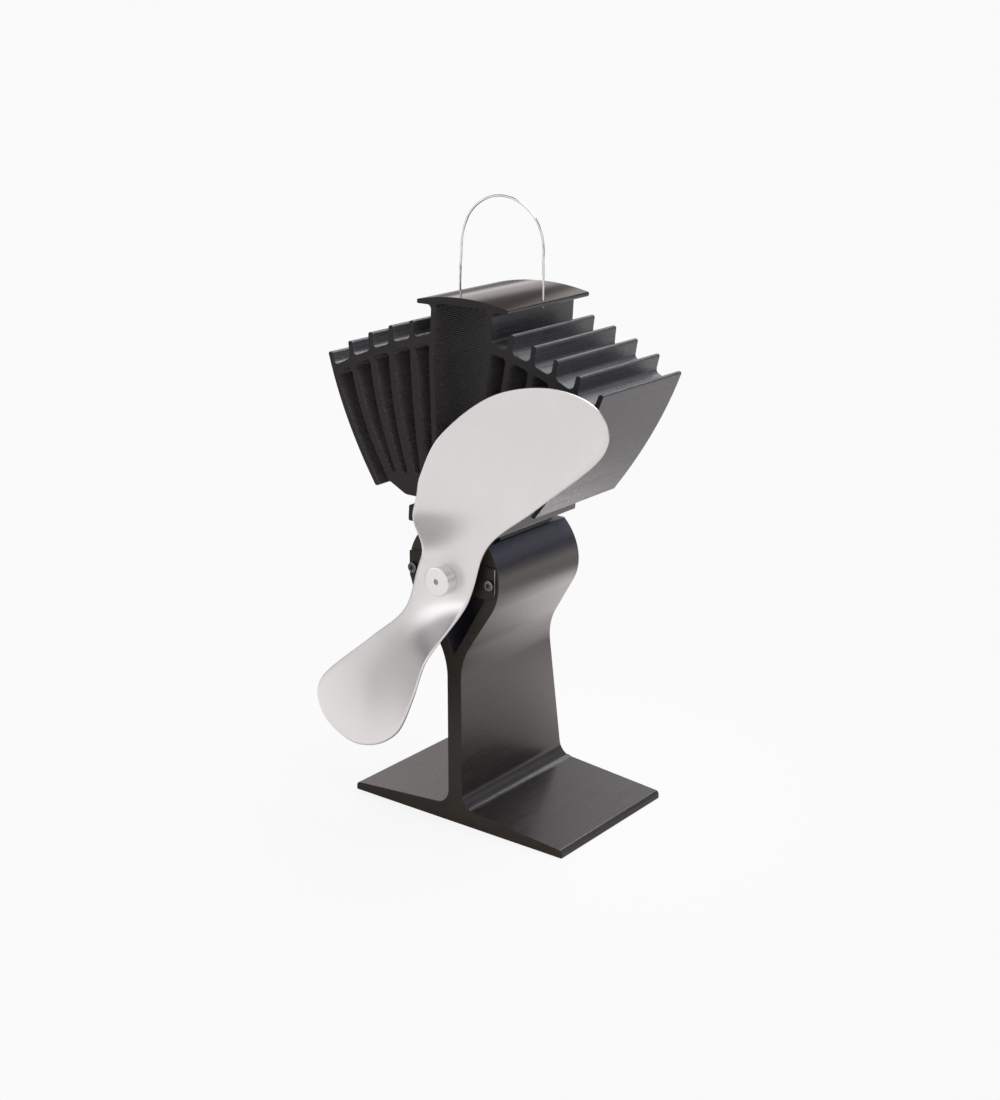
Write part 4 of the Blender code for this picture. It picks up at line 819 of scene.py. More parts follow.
def inset(rows, amount, metal_inside):
    """Return an outline's points moved into the metal by an amount, along their normals."""
    points = rows[:, :2]
    ahead = np.roll(points, -1, axis=0)
    slope = ahead - np.roll(points, 1, axis=0)
    slope /= np.maximum(np.hypot(slope[:, 0], slope[:, 1]), 1e-9)[:, None]
    area = (ahead[:, 0] * points[:, 1] - points[:, 0] * ahead[:, 1]).sum()
    side = math.copysign(1.0, area) * (1 if metal_inside else -1)
    normal = np.stack([slope[:, 1], -slope[:, 0]], axis=1) * side
    return points + normal * amount


def extrusion(name, loops, front, depth, lean, chamfer, materials):
    """Carry closed loops along Y and close their ends: the first is outside, the rest are holes.

    A point of a loop goes to y = front + lean * z + step, for four steps: the end face, whose
    loops are inset by the chamfer, the chamfer's back, and the same two at the far end.
    """
    steps = ((chamfer, 0.0), (0.0, chamfer), (0.0, depth - chamfer), (chamfer, depth))
    points = []
    faces = []
    indices = []
    ribs = []
    near = []
    far = []
    start = 0
    for number, rows in enumerate(loops):
        count = len(rows)
        for amount, step in steps:
            ring = inset(rows, amount, number == 0)
            y = front + lean * ring[:, 1] + step
            points.append(np.stack([ring[:, 0], y, ring[:, 1]], axis=1))
            ribs.append(rows[:, 2])
        faces += (np.array(ring_faces(4, count)) + start).tolist()
        indices += [SAWN] * count + rows[:, 3].astype(int).tolist() + [SAWN] * count
        near.append(start + np.arange(count))
        far.append(near[-1] + 3 * count)
        start += 4 * count
    points = np.vstack(points)
    for end in (near, far):
        numbers = np.concatenate(end)
        flat = [[Vector((x, z, 0)) for x, _, z in points[loop]] for loop in end]
        triangles = [numbers[list(corners)].tolist() for corners in tessellate_polygon(flat)]
        faces += triangles
        indices += [SAWN] * len(triangles)
    ribs = np.concatenate(ribs)
    return make_piece(name, (points, faces), materials, indices, ribs=ribs)


def base_loops():
    """Return the base's outline, of foot plate, stem, arms and bulb, and its hollow."""
    half = BASE_WIDTH / 2
    stem = STEM_THICKNESS / 2
    tangent = ARM_ANGLE - math.pi / 2
    tangent_x = BULB_RADIUS * math.cos(tangent)
    tangent_z = AXIS_HEIGHT + BULB_RADIUS * math.sin(tangent)
    split = tangent_z - (tangent_x - stem) * math.tan(ARM_ANGLE)
    bend = split - ARM_FILLET * math.tan(-tangent / 2)
    top = math.asin((BULB_TOP - AXIS_HEIGHT) / BULB_RADIUS)
    right = [
        (half, 0, PLATE_FOOT_RADIUS, 0, DRAWN),
        (half, PLATE_EDGE_THICKNESS, PLATE_EDGE_RADIUS, 0, DRAWN),
        (stem, PLATE_ROOT_THICKNESS, FOOT_FILLET, 0, DRAWN),
    ]
    right += arc(ARM_FILLET, math.pi, math.pi + tangent, 14, (stem + ARM_FILLET, bend))
    right += arc(BULB_RADIUS, tangent, top, 36, (0, AXIS_HEIGHT))
    right[-1] = (*right[-1][:2], BULB_TOP_RADIUS, 0, DRAWN)
    outside = round_corners(mirrored(right))
    tangent = math.asin(CAVITY_RADIUS / NOTCH_DROP)
    shoulder = math.asin(SHOULDER_RISE / CAVITY_RADIUS)
    arch = math.asin(SHOULDER_RISE / ARCH_RADIUS)
    right = [(0, AXIS_HEIGHT - NOTCH_DROP, 0, 0, DRAWN)]
    right += arc(CAVITY_RADIUS, -tangent, shoulder, 14, (0, AXIS_HEIGHT))
    right[-1] = (*right[-1][:2], SHOULDER_FILLET, 0, DRAWN)
    right += arc(ARCH_RADIUS, arch, math.pi / 2, 14, (0, AXIS_HEIGHT))
    right[-1] = (0, AXIS_HEIGHT + ARCH_RADIUS, 0, 0, DRAWN)
    hollow = round_corners(mirrored(right))
    hollow[:, 3] = HOLLOW
    return [grooved(outside), grooved(hollow)]


def box_mesh(low, high):
    """Return the points and faces of a block."""
    low = np.asarray(low, dtype=float)
    high = np.asarray(high, dtype=float)
    share = np.array([(a, b, c) for a in (0, 1) for b in (0, 1) for c in (0, 1)])
    faces = [(0, 1, 3, 2), (4, 6, 7, 5), (0, 4, 5, 1), (2, 3, 7, 6), (0, 2, 6, 4), (1, 5, 7, 3)]
    return low + (high - low) * share, faces


def make_base(materials):
    """Make the base, with its back face sawn to a lean and its bracket screws' holes."""
    base = extrusion("stand_base", base_loops(), BASE_FRONT, BASE_DEPTH, 0.0, BASE_CHAMFER,
                     materials)
    top = BULB_TOP + CUT_MARGIN
    wide = 0.6 * BASE_WIDTH
    back = BASE_DEPTH / 2 - BACK_STEP
    points, faces = box_mesh((-wide, back, PLATE_ROOT_THICKNESS), (wide, BASE_DEPTH, top))
    leaning = (points[:, 1] == back) & (points[:, 2] == top)
    points[leaning, 1] -= BACK_LEAN * (top - PLATE_ROOT_THICKNESS)
    cutters = [((points, faces), SAWN)]
    for side in (-1, 1):
        middle = (side * BRACKET_SCREW_OFFSET, BRACKET_FRONT, AXIS_HEIGHT)
        depth = BRACKET_SCREW_LENGTH + SEAT_GAP
        cutters.append(hole(BRACKET_HOLE_RADIUS, 0, depth, middle, upright=False))
    cut(base, cutters)
    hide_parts("base_extrusion")


def fin_crest(fin):
    """Return the height of a fin's tip: a straight fall along the row plus a low bow."""
    share = fin / (FIN_COUNT - 1)
    bow = FIN_CREST_BOW * 4 * share * (1 - share)
    return SLAB_BOTTOM + FIN_CREST_RISE - FIN_CREST_DROP * share + bow


def fin_face(fin, side, height):
    """Return how far a fin's face lies from the middle: a straight rise plus a parabola's bow."""
    free = fin == FIN_COUNT - 1
    foot = FREE_FIN_FOOT_OFFSET if free else FIN_FOOT_FIRST + fin * FIN_FOOT_PITCH
    foot_height = SLAB_BOTTOM + (FREE_FIN_FOOT_RISE if free else FIN_FOOT_RISE)
    foot_thickness = FIN_TIP_THICKNESS if free else FIN_FOOT_THICKNESS
    tip = FIN_TIP_FIRST + fin * FIN_TIP_PITCH
    share = (height - foot_height) / (fin_crest(fin) - foot_height)
    bow = FIN_BOW * FIN_BOW_SHARES[fin] * 4 * share * (1 - share)
    thickness = foot_thickness + (FIN_TIP_THICKNESS - foot_thickness) * share
    return foot + (tip - foot) * share + bow + side * thickness / 2


def column_face(height):
    """Return the column's outer face, which widens up to its shoulder and then stands upright."""
    foot = SLAB_BOTTOM + CELL_FLOOR_RISE
    share = np.minimum((height - foot) / (SLAB_BOTTOM + COLUMN_SHOULDER_RISE - foot), 1.0)
    return (COLUMN_FOOT_WIDTH + (COLUMN_WIDTH - COLUMN_FOOT_WIDTH) * share) / 2


def web_top(x):
    """Return the web's upper line: a straight fall outwards plus a parabola's bow."""
    reach = FIN_TIP_FIRST + (FIN_COUNT - 1) * FIN_TIP_PITCH - COLUMN_WIDTH / 2
    share = (x - COLUMN_WIDTH / 2) / reach
    fall = (WEB_OUTER_RISE - WEB_INNER_RISE) * share
    return SLAB_BOTTOM + WEB_INNER_RISE + fall + WEB_BOW * 4 * share * (1 - share)


def web_under(x):
    """Return the web's lower line."""
    return web_top(x) - WEB_THICKNESS


def cell_floor(x):
    """Return the bowl's upper line, where the gaps between the fins end."""
    reach = FIN_FOOT_FIRST + (FIN_COUNT - 1) * FIN_FOOT_PITCH
    return SLAB_BOTTOM + CELL_FLOOR_RISE - CELL_FLOOR_DROP * x / reach


def meeting(face, line, radius, groove=0.0):
    """Return the corner where a face meets a line across it, found by going round the two."""
    height = SLAB_BOTTOM + WEB_OUTER_RISE
    for _ in range(20):
        height = line(face(height))
    return (float(face(height)), float(height), radius, groove, DRAWN)


def along(face, start, end, groove):
    """Return the corners along a face between two heights, about 4 mm apart, without its ends."""
    steps = max(2, int(abs(end - start) / 4.0))
    heights = np.linspace(start, end, steps + 1)[1:-1]
    return [(float(face(height)), float(height), 0, groove, DRAWN) for height in heights]


def gap_faces(gap):
    """Return a gap's two faces: the column's or a fin's outer one, and the next fin's inner one."""
    inner = partial(fin_face, gap - 1, 1) if gap else column_face
    return inner, partial(fin_face, gap, -1)


def heat_sink_loops():
    """Return the heat sink's outline from the slab over the fins to the cap, and its holes."""
    last = FIN_COUNT - 1
    slab_top = SLAB_BOTTOM + SLAB_THICKNESS
    bowl = slab_top + NECK_HEIGHT
    lip = bowl + BOWL_LIP_RISE
    inner, outer = gap_faces(last)
    free_foot = SLAB_BOTTOM + FREE_FIN_FOOT_RISE
    deep = FIN_GROOVE
    shallow = SHALLOW_GROOVE
    right = [
        (SLAB_WIDTH / 2, SLAB_BOTTOM, SLAB_RADIUS, 0, DRAWN),
        (SLAB_WIDTH / 2, slab_top, SLAB_RADIUS, 0, DRAWN),
        (NECK_WIDTH / 2, slab_top, NECK_FILLET, 0, DRAWN),
        (NECK_WIDTH / 2, bowl, NECK_FILLET, 0, DRAWN),
        (BOWL_FLAT_WIDTH / 2, bowl, BOWL_FLAT_RADIUS, 0, DRAWN),
        (inner(lip), lip, BOWL_LIP_RADIUS, shallow, DRAWN),
    ]
    under_inner = meeting(inner, web_under, WEB_UNDER_FILLET)
    under_outer = meeting(outer, web_under, WEB_UNDER_FILLET, deep)
    gap = along(inner, lip, under_inner[1], shallow)
    gap += [under_inner, under_outer]
    gap += along(outer, under_outer[1], free_foot, deep)
    right += [(*corner[:4], CELL) for corner in gap]
    right.append((fin_face(last, -1, free_foot), free_foot, FIN_END_RADIUS, 0, DRAWN))
    right.append((fin_face(last, 1, free_foot), free_foot, FIN_END_RADIUS, shallow, DRAWN))
    right += along(partial(fin_face, last, 1), free_foot, fin_crest(last), shallow)
    for fin in range(last, -1, -1):
        crest = fin_crest(fin)
        near, beyond = gap_faces(fin)
        right.append((fin_face(fin, 1, crest), crest, FIN_END_RADIUS, 0, DRAWN))
        right.append((fin_face(fin, -1, crest), crest, FIN_END_RADIUS, deep, DRAWN))
        right.append(meeting(beyond, web_top, WEB_TOP_FILLET))
        right.append(meeting(near, web_top, WEB_TOP_FILLET, shallow if fin else 0.0))
    edge_top = CAP_UNDER + CAP_EDGE_THICKNESS
    right.append((COLUMN_WIDTH / 2, CAP_UNDER, CAP_FILLET, 0, DRAWN))
    right.append((CAP_WIDTH / 2, CAP_UNDER, CAP_EDGE_RADIUS, 0, DRAWN))
    for share in np.linspace(1, 0, CROWN_STEPS + 1):
        radius = CAP_EDGE_RADIUS if share == 1 else 0
        crown = edge_top + CAP_CROWN * (1 - share * share)
        right.append((CAP_WIDTH / 2 * share, crown, radius, 0, POLISHED))
    loops = [round_corners(mirrored(right))]
    shoulder = SLAB_BOTTOM + COLUMN_SHOULDER_RISE
    top = edge_top + CAP_CROWN - CAP_MIDDLE_THICKNESS
    floor = SLAB_BOTTOM + CHANNEL_FLOOR_RISE
    places = ((floor, CHANNEL_FILLET, DEEP_GROOVE), (shoulder, 0, DEEP_GROOVE),
              (top, CHANNEL_FILLET, 0))
    right = [(float(column_face(height)) - COLUMN_WALL, height, radius, groove, DRAWN)
             for height, radius, groove in places]
    loops.append(round_corners(mirrored(right)))
    loops[1][:, 3] = CHANNEL
    for gap in range(last):
        inner, outer = gap_faces(gap)
        floor_inner = meeting(inner, cell_floor, CELL_FLOOR_FILLET)
        floor_outer = meeting(outer, cell_floor, CELL_FLOOR_FILLET, deep)
        under_outer = meeting(outer, web_under, WEB_UNDER_FILLET)
        under_inner = meeting(inner, web_under, WEB_UNDER_FILLET, shallow)
        cell = [floor_inner, floor_outer]
        cell += along(outer, floor_outer[1], under_outer[1], deep)
        cell += [under_outer, under_inner]
        cell += along(inner, under_inner[1], floor_inner[1], shallow)
        rows = round_corners(cell)
        rows[:, 3] = CELL
        loops.append(rows)
        loops.append(rows * np.array((-1, 1, 1, 1)))
    return [grooved(rows) for rows in loops]


def clamp_places():
    """Return the clamp screws' (x, y) places by name."""
    return {
        f"{end_name}_{side_name}": (side * CLAMP_HALF_WIDTH, SLAB_MIDDLE + end * CLAMP_HALF_LENGTH)
        for side, side_name in ((-1, "left"), (1, "right"))
        for end, end_name in ((-1, "front"), (1, "rear"))
    }


def make_heat_sink(materials):
    """Make the heat sink, sawn to a lean, with the holes for its clamp screws and its bail."""
    front = SLAB_FRONT - HEAT_SINK_LEAN * SLAB_BOTTOM
    sink = extrusion("finned_heat_sink", heat_sink_loops(), front, HEAT_SINK_DEPTH,
                     HEAT_SINK_LEAN, HEAT_SINK_CHAMFER, materials)
    top = CHANNEL_FLOOR_RISE + CUT_MARGIN
    cutters = [hole(CLAMP_HOLE_RADIUS, -CUT_MARGIN, top, (x, y, SLAB_BOTTOM))
               for x, y in clamp_places().values()]
    for side in (-1, 1):
        middle = (side * BAIL_SPAN / 2, BAIL_PLACE, CAP_UNDER)
        cutters.append(hole(BAIL_HOLE_RADIUS, -CUT_MARGIN, 3 * CUT_MARGIN, middle))
    cut(sink, cutters)
    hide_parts("heat_sink")


def catmull_rom(points, steps):
    """Return a smooth closed curve through points, as (steps * count, 2 or 3) rows.

    Between two points it is the cubic with half of the neighbours' difference as its slopes.
    """
    share = (np.arange(steps) / steps)[None, :, None]
    before, start, end, after = (np.roll(points, shift, axis=0)[:, None]
                                 for shift in (1, 0, -1, -2))
    spread = 2 * before - 5 * start + 4 * end - after
    twist = 3 * start - before - 3 * end + after
    curve = start + ((end - before) * share + spread * share**2 + twist * share**3) / 2
    return curve.reshape(-1, points.shape[1])


def blade_height(along_blade, across):
    """Return how far back the blade's middle surface lies.

    It is flat at the hub. Outside, each wing is pitched about its length, carried forward and
    cambered: bend * (side * across * tan(pitch) + carry + camber * (across / reach) ** 2), with
    bend the smooth step of the distance from an oblique line through the hub.
    """
    distance = np.abs(BLADE_BEND_WAY[0] * along_blade + BLADE_BEND_WAY[1] * across)
    bend = (distance - BLADE_BEND_START) / (BLADE_BEND_REACH - BLADE_BEND_START)
    bend = np.clip(bend, 0, 1)
    bend = bend * bend * (3 - 2 * bend)
    out = np.abs(along_blade) / BLADE_RADIUS
    pitch = BLADE_PITCH_ROOT + (BLADE_PITCH_TIP - BLADE_PITCH_ROOT) * out
    carry = BLADE_CARRY_ROOT + (BLADE_CARRY_TIP - BLADE_CARRY_ROOT) * out
    camber = BLADE_CAMBER_ROOT + (BLADE_CAMBER_TIP - BLADE_CAMBER_ROOT) * out
    camber = camber * (across / BLADE_CAMBER_REACH) ** 2
    side = np.sign(along_blade)
    return BLADE_MIDDLE - bend * (side * across * np.tan(pitch) + carry + camber)


def blade_frame(along_blade, across):
    """Return the blade's middle surface in space, turned to its angle at rest."""
    cosine = math.cos(BLADE_REST_ANGLE)
    sine = math.sin(BLADE_REST_ANGLE)
    x = cosine * along_blade - sine * across
    z = AXIS_HEIGHT + sine * along_blade + cosine * across
    return np.stack([x, blade_height(along_blade, across), z], axis=-1)


def make_blade(material):
    """Make the blade as one sheet, ruled between its two edges, with a rounded rim.

    Half its thickness at a distance d from the edge is t / 2 * sqrt(1 - (1 - d / r) ** 2) up to
    the rim's radius r, so that both sides meet on the edge itself.
    """
    half = np.array(BLADE_EDGE_SHARES) * BLADE_RADIUS
    steps = BLADE_EDGE_STEPS
    corners = np.vstack([half, -half])
    for index, trim in LOWER_WING_TRIMS:
        corners[index] += trim
    outline = np.roll(catmull_rom(corners, steps), steps // 2, axis=0)
    count = len(outline) // 2
    upper = outline[:count + 1]
    lower = np.vstack([outline[count:], outline[:1]])[::-1]
    near = np.array(BLADE_RIM_STEPS)
    chord = np.hypot(*(upper - lower).T)
    edge = near[None, :] / np.maximum(chord, 5 * BLADE_RIM)[:, None]
    inside = np.linspace(0, 1, BLADE_COLUMNS + 2)[1:-1]
    middle = edge[:, -1:] + (1 - 2 * edge[:, -1:]) * inside[None, :]
    share = np.hstack([edge, middle, 1 - edge[:, ::-1]])[..., None]
    flat = lower[:, None] + (upper - lower)[:, None] * share
    points = flat.reshape(-1, 2)
    near_edge = np.full(len(points), 1e9)
    for first, second in zip(outline, np.roll(outline, -1, axis=0)):
        side = second - first
        spot = np.clip(((points - first) @ side) / (side @ side), 0, 1)
        gap = points - first - spot[:, None] * side
        near_edge = np.minimum(near_edge, np.hypot(gap[:, 0], gap[:, 1]))
    thickness = np.sqrt(1 - (1 - np.minimum(near_edge / BLADE_RIM, 1)) ** 2)
    step = 0.05
    surface = blade_frame(points[:, 0], points[:, 1])
    slope_along = blade_frame(points[:, 0] + step, points[:, 1]) - surface
    slope_across = blade_frame(points[:, 0], points[:, 1] + step) - surface
    normal = np.cross(slope_across, slope_along)
    normal /= np.linalg.norm(normal, axis=1)[:, None]
    normal *= -np.sign(normal[:, 1:2])
    push = normal * (BLADE_THICKNESS / 2 * thickness)[:, None]
    rows, columns = share.shape[:2]
    grid = np.arange(rows * columns).reshape(rows, columns)
    quads = np.stack([grid[:-1, :-1], grid[:-1, 1:], grid[1:, 1:], grid[1:, :-1]], axis=-1)
    quads = quads.reshape(-1, 4)
    faces = quads.tolist() + (quads[:, ::-1] + rows * columns).tolist()
    both = np.vstack([surface + push, surface - push])
    blade = make_piece("blade_sheet", (both, faces), [material], body="rotor",
                       smooth=60)
    middle = (0, BLADE_MIDDLE, AXIS_HEIGHT)
    reach = 2 * CUT_MARGIN
    cut(blade, [hole(BLADE_BORE_RADIUS, -reach, reach, middle, 48, upright=False)], smooth=60)
    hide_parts("fan_blade")


def make_hub(material):
    """Make the turned hub, with a faint step on its face, a spigot and the shaft's bore."""
    back = BLADE_MIDDLE - BLADE_THICKNESS / 2 - HUB_BLADE_GAP
    spigot_end = BLADE_MIDDLE + BLADE_THICKNESS / 2 + SEAT_GAP + SPIGOT_PAST_GAP
    profile = [(radius, HUB_FACE + behind) for radius, behind in HUB_FRONT]
    profile += [(radius, back + behind) for radius, behind in HUB_BACK]
    profile += [(HUB_SPIGOT_RADIUS, spigot_end), (HUB_BORE, spigot_end)]
    shape = turned_surface(profile, (0, 0, AXIS_HEIGHT), 96)
    hub = make_piece("turned_hub", shape, [material], body="rotor",
                     smooth=30)
    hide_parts("hub")


def circle_rows(radius, x, segments):
    """Return a circle at the motor's height as outline rows: middle + radius * (cos t, sin t)."""
    turn = np.arange(segments) * math.tau / segments
    rows = np.zeros((segments, 4))
    rows[:, 0] = x + radius * np.cos(turn)
    rows[:, 1] = AXIS_HEIGHT + radius * np.sin(turn)
    return rows


def make_bracket(material, edge):
    """Make the bracket: a plate with two ears and a drawn collar round the motor."""
    half = BRACKET_WIDTH / 2
    right = [(half, AXIS_HEIGHT - BRACKET_DROP, BRACKET_FOOT_RADIUS, 0, DRAWN),
             (half, AXIS_HEIGHT + BRACKET_RISE, BRACKET_TOP_RADIUS, 0, DRAWN)]
    loops = [round_corners(mirrored(right)), circle_rows(COLLAR_BORE, 0, 96)]
    for side in (-1, 1):
        loops.append(circle_rows(BRACKET_HOLE_RADIUS, side * BRACKET_SCREW_OFFSET, 24))
    loops = [grooved(rows) for rows in loops]
    plate = extrusion("bracket_plate", loops, BRACKET_FRONT, BRACKET_THICKNESS, 0.0,
                      BRACKET_CHAMFER, [edge, material, material])
    end = BRACKET_BACK + COLLAR_LENGTH
    profile = ((COLLAR_BORE, BRACKET_FRONT + 0.2), (COLLAR_RADIUS, BRACKET_FRONT + 0.3),
               (COLLAR_RADIUS, end - 0.2), (COLLAR_RADIUS - 0.2, end),
               (COLLAR_BORE + 0.1, end), (COLLAR_BORE, end - 0.1))
    shape = turned_surface(profile, (0, 0, AXIS_HEIGHT), 96)
    collar = make_piece("bracket_collar", shape, [material])
    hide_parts("motor_bracket")
    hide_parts("motor_bracket")


def socket_screw(name, node, material, middle, sizes, length, upright):
    """Make a socket screw: a rounded head with a hexagonal socket, and a plain shank.

    The head's underside is at its middle, the head rises against the shank's direction, and the
    socket's rings are the sided ones.
    """
    radius, head, shank = sizes
    rise = 1.0 if upright else -1.0
    rows = [(radius * across, rise * head * up) for across, up in SCREW_HEAD]
    rows += [(radius, rise * 0.1), (radius * 0.96, 0), (shank, 0)]
    rows.append((shank, -rise * (length - SCREW_TIP_LENGTH)))
    rows += [(shank - SCREW_TIP_STEP, -rise * length), (0, -rise * length)]
    shape = turned_surface(rows, middle, SCREW_SEGMENTS, upright, sides=6, sided=SOCKET_ROWS)
    worn = np.repeat(SCREW_WEAR, SCREW_SEGMENTS)
    screw = make_piece(name, shape, [material], smooth=35, ribs=worn)
    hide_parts(node)


def make_screws(oxide, zinc):
    """Make the bracket's two screws, the four clamp screws and their dished washers."""
    for side, name in ((-1, "left"), (1, "right")):
        middle = (side * BRACKET_SCREW_OFFSET, BRACKET_FRONT - SEAT_GAP, AXIS_HEIGHT)
        socket_screw(f"bracket_socket_screw_{name}", f"bracket_screw_{name}", oxide, middle,
                     BRACKET_SCREW, BRACKET_SCREW_LENGTH, False)
    washer_low = SLAB_BOTTOM + CHANNEL_FLOOR_RISE + SEAT_GAP
    head_low = washer_low + WASHER_HEIGHT + SEAT_GAP
    length = head_low - BULB_TOP + CLAMP_SCREW_BITE
    for corner, (x, y) in clamp_places().items():
        socket_screw(f"clamp_socket_screw_{corner}", f"clamp_screw_{corner}", zinc,
                     (x, y, head_low), CLAMP_SCREW, length, True)
        shape = turned_surface(WASHER, (x, y, washer_low), SCREW_SEGMENTS, upright=True)
        washer = make_piece(f"clamp_spring_washer_{corner}", shape, [zinc],
                            smooth=35)
        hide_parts(f"clamp_washer_{corner}")


def wire_along(path, radii, reference):
    """Return a round wire: path + radius * (cos t * side + sin t * over) at each point.

    Side is the path's direction crossed with a reference that it never runs along.
    """
    slope = np.gradient(path, axis=0)
    slope /= np.linalg.norm(slope, axis=1)[:, None]
    side = np.cross(slope, reference)
    side /= np.linalg.norm(side, axis=1)[:, None]
    over = np.cross(side, slope)
    turn = np.arange(WIRE_SEGMENTS) * math.tau / WIRE_SEGMENTS
    across = np.cos(turn)[None, :, None] * side[:, None]
    spokes = across + np.sin(turn)[None, :, None] * over[:, None]
    points = path[:, None] + np.asarray(radii)[:, None, None] * spokes
    return points.reshape(-1, 3), ring_faces(len(path), WIRE_SEGMENTS)


def make_bail(material):
    """Make the wire bail: two legs through the cap's lips, peened below, and a half ellipse.

    The bow is at x = -half * cos t and z = shoulder + rise * sin t. The bends of a wire that was
    formed by hand are added at their heights, and two slow waves move it in depth.
    """
    half = BAIL_SPAN / 2
    shoulder = CAP_UNDER + BAIL_LEG
    top = CAP_UNDER - SEAT_GAP
    low = top - BAIL_FOOT_THICKNESS
    foot = np.array((low, low, low + 0.03, low + 0.08, top - 0.08, top - 0.03, top, top))
    rows = len(BAIL_FOOT_RADII)
    foot += np.arange(rows) * 1e-4
    leg = np.concatenate([foot, np.linspace(top + 0.3, shoulder, 40)[:-1]])
    turn = np.linspace(0, math.pi, 121)
    straight = np.full(len(leg), half)
    height = np.concatenate([leg, shoulder + (BAIL_RISE - BAIL_LEG) * np.sin(turn), leg[::-1]])
    across = np.concatenate([-straight, -half * np.cos(turn), straight])
    radii = np.full(len(height), BAIL_WIRE_RADIUS)
    radii[:rows] = BAIL_FOOT_RADII
    radii[-rows:] = BAIL_FOOT_RADII[::-1]
    left_bend = np.interp(height, BAIL_BEND_HEIGHTS, BAIL_LEFT_BENDS)
    right_bend = np.interp(height, BAIL_BEND_HEIGHTS, BAIL_RIGHT_BENDS)
    above = np.clip((height - CAP_UNDER - 5) / 6, 0, 1)
    bend = above * np.where(across < 0, left_bend, right_bend)
    spread = np.full(BAIL_BEND_SPREAD, 1 / BAIL_BEND_SPREAD)
    across = across + np.convolve(bend, spread, "same")
    walk = np.linspace(0, 1, len(height))
    depth = BAIL_PLACE + above * (0.07 * np.sin(61 * walk + 1.0) + 0.04 * np.sin(143 * walk))
    path = np.stack([across, depth, height], axis=1)
    points, faces = wire_along(path, radii, (0, 1, 0))
    numbers = list(range(len(points)))
    faces += [numbers[WIRE_SEGMENTS - 1::-1], numbers[-WIRE_SEGMENTS:]]
    bail = make_piece("wire_bail", (points, faces), [material], smooth=50)
    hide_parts("handle_bail")


def level_way(finish, place):
    """Return the level direction of a place, and its level distance from the middle."""
    flat = finish.vector("MULTIPLY", place, (1, 1, 0))
    return finish.vector("NORMALIZE", flat), finish.vector("LENGTH", flat, output="Value")


def studio_level(finish, place):
    """Return how bright the studio is towards a place on its floor or walls.

    Softboxes add to it and dark sides take from it, each smoothly with the direction's cosine
    and with the distance from the object.
    """
    way, reach = level_way(finish, place)
    level = STUDIO_LEVEL
    for direction, near, far, changes in STUDIO_CHANGES:
        part = finish.towards(way, direction, near, far)
        for begins, whole, change in changes:
            level = level + change * (part * finish.smooth(reach, begins, whole))
    return level


def glow(finish, colour, level):
    """Return an emission shader of a colour at a level that changes over the surface."""
    lit = finish.node("ShaderNodeVectorMath", {"operation": "SCALE"}, {0: colour, "Scale": level})
    return finish.node("ShaderNodeEmission", {}, {"Color": lit})


def studio_part(name, points, faces, material):
    """Make a part of the studio from points in metres."""
    mesh = bpy.data.meshes.new(name)
    mesh.from_pydata(points, [], faces)
    mesh.materials.append(material)
    return add_object(name, mesh)


def make_stage():
    """Make the pale floor. It glows white to the camera and keeps the shadow near the object."""
    finish = Finish("studio_floor")
    seen = finish.between(finish.rays(*SEEN_RAYS), 0.0, 1.0)
    shown = finish.rays("Is Glossy Ray")
    place = finish.place()
    reach = finish.vector("LENGTH", place, output="Value")
    share = seen * (SHADOW_HELD + (1 - SHADOW_HELD) * finish.between(reach, *SHADOW_REACH))
    around = finish.between(reach, BASE_SHADE_NEAR, BASE_SHADE_REACH)
    lit = around * (1 - BASE_SHADE_LEVEL) + BASE_SHADE_LEVEL
    level = studio_level(finish, place) * lit * shown + BACKGROUND_LEVEL * (1 - shown)
    paper = finish.node("ShaderNodeBsdfDiffuse", {}, {"Color": FLOOR_GREY})
    lamp = glow(finish, finish.mix(shown, (1.0, 1.0, 1.0), STUDIO_TINT), level)
    finish.show(finish.node("ShaderNodeMixShader", {}, {0: share, 1: paper, 2: lamp}))
    far = FLOOR_REACH
    corners = [(-far, -far, 0), (far, -far, 0), (far, far, 0), (-far, far, 0)]
    floor = studio_part("studio_floor", corners, [(0, 1, 2, 3)], finish.material)


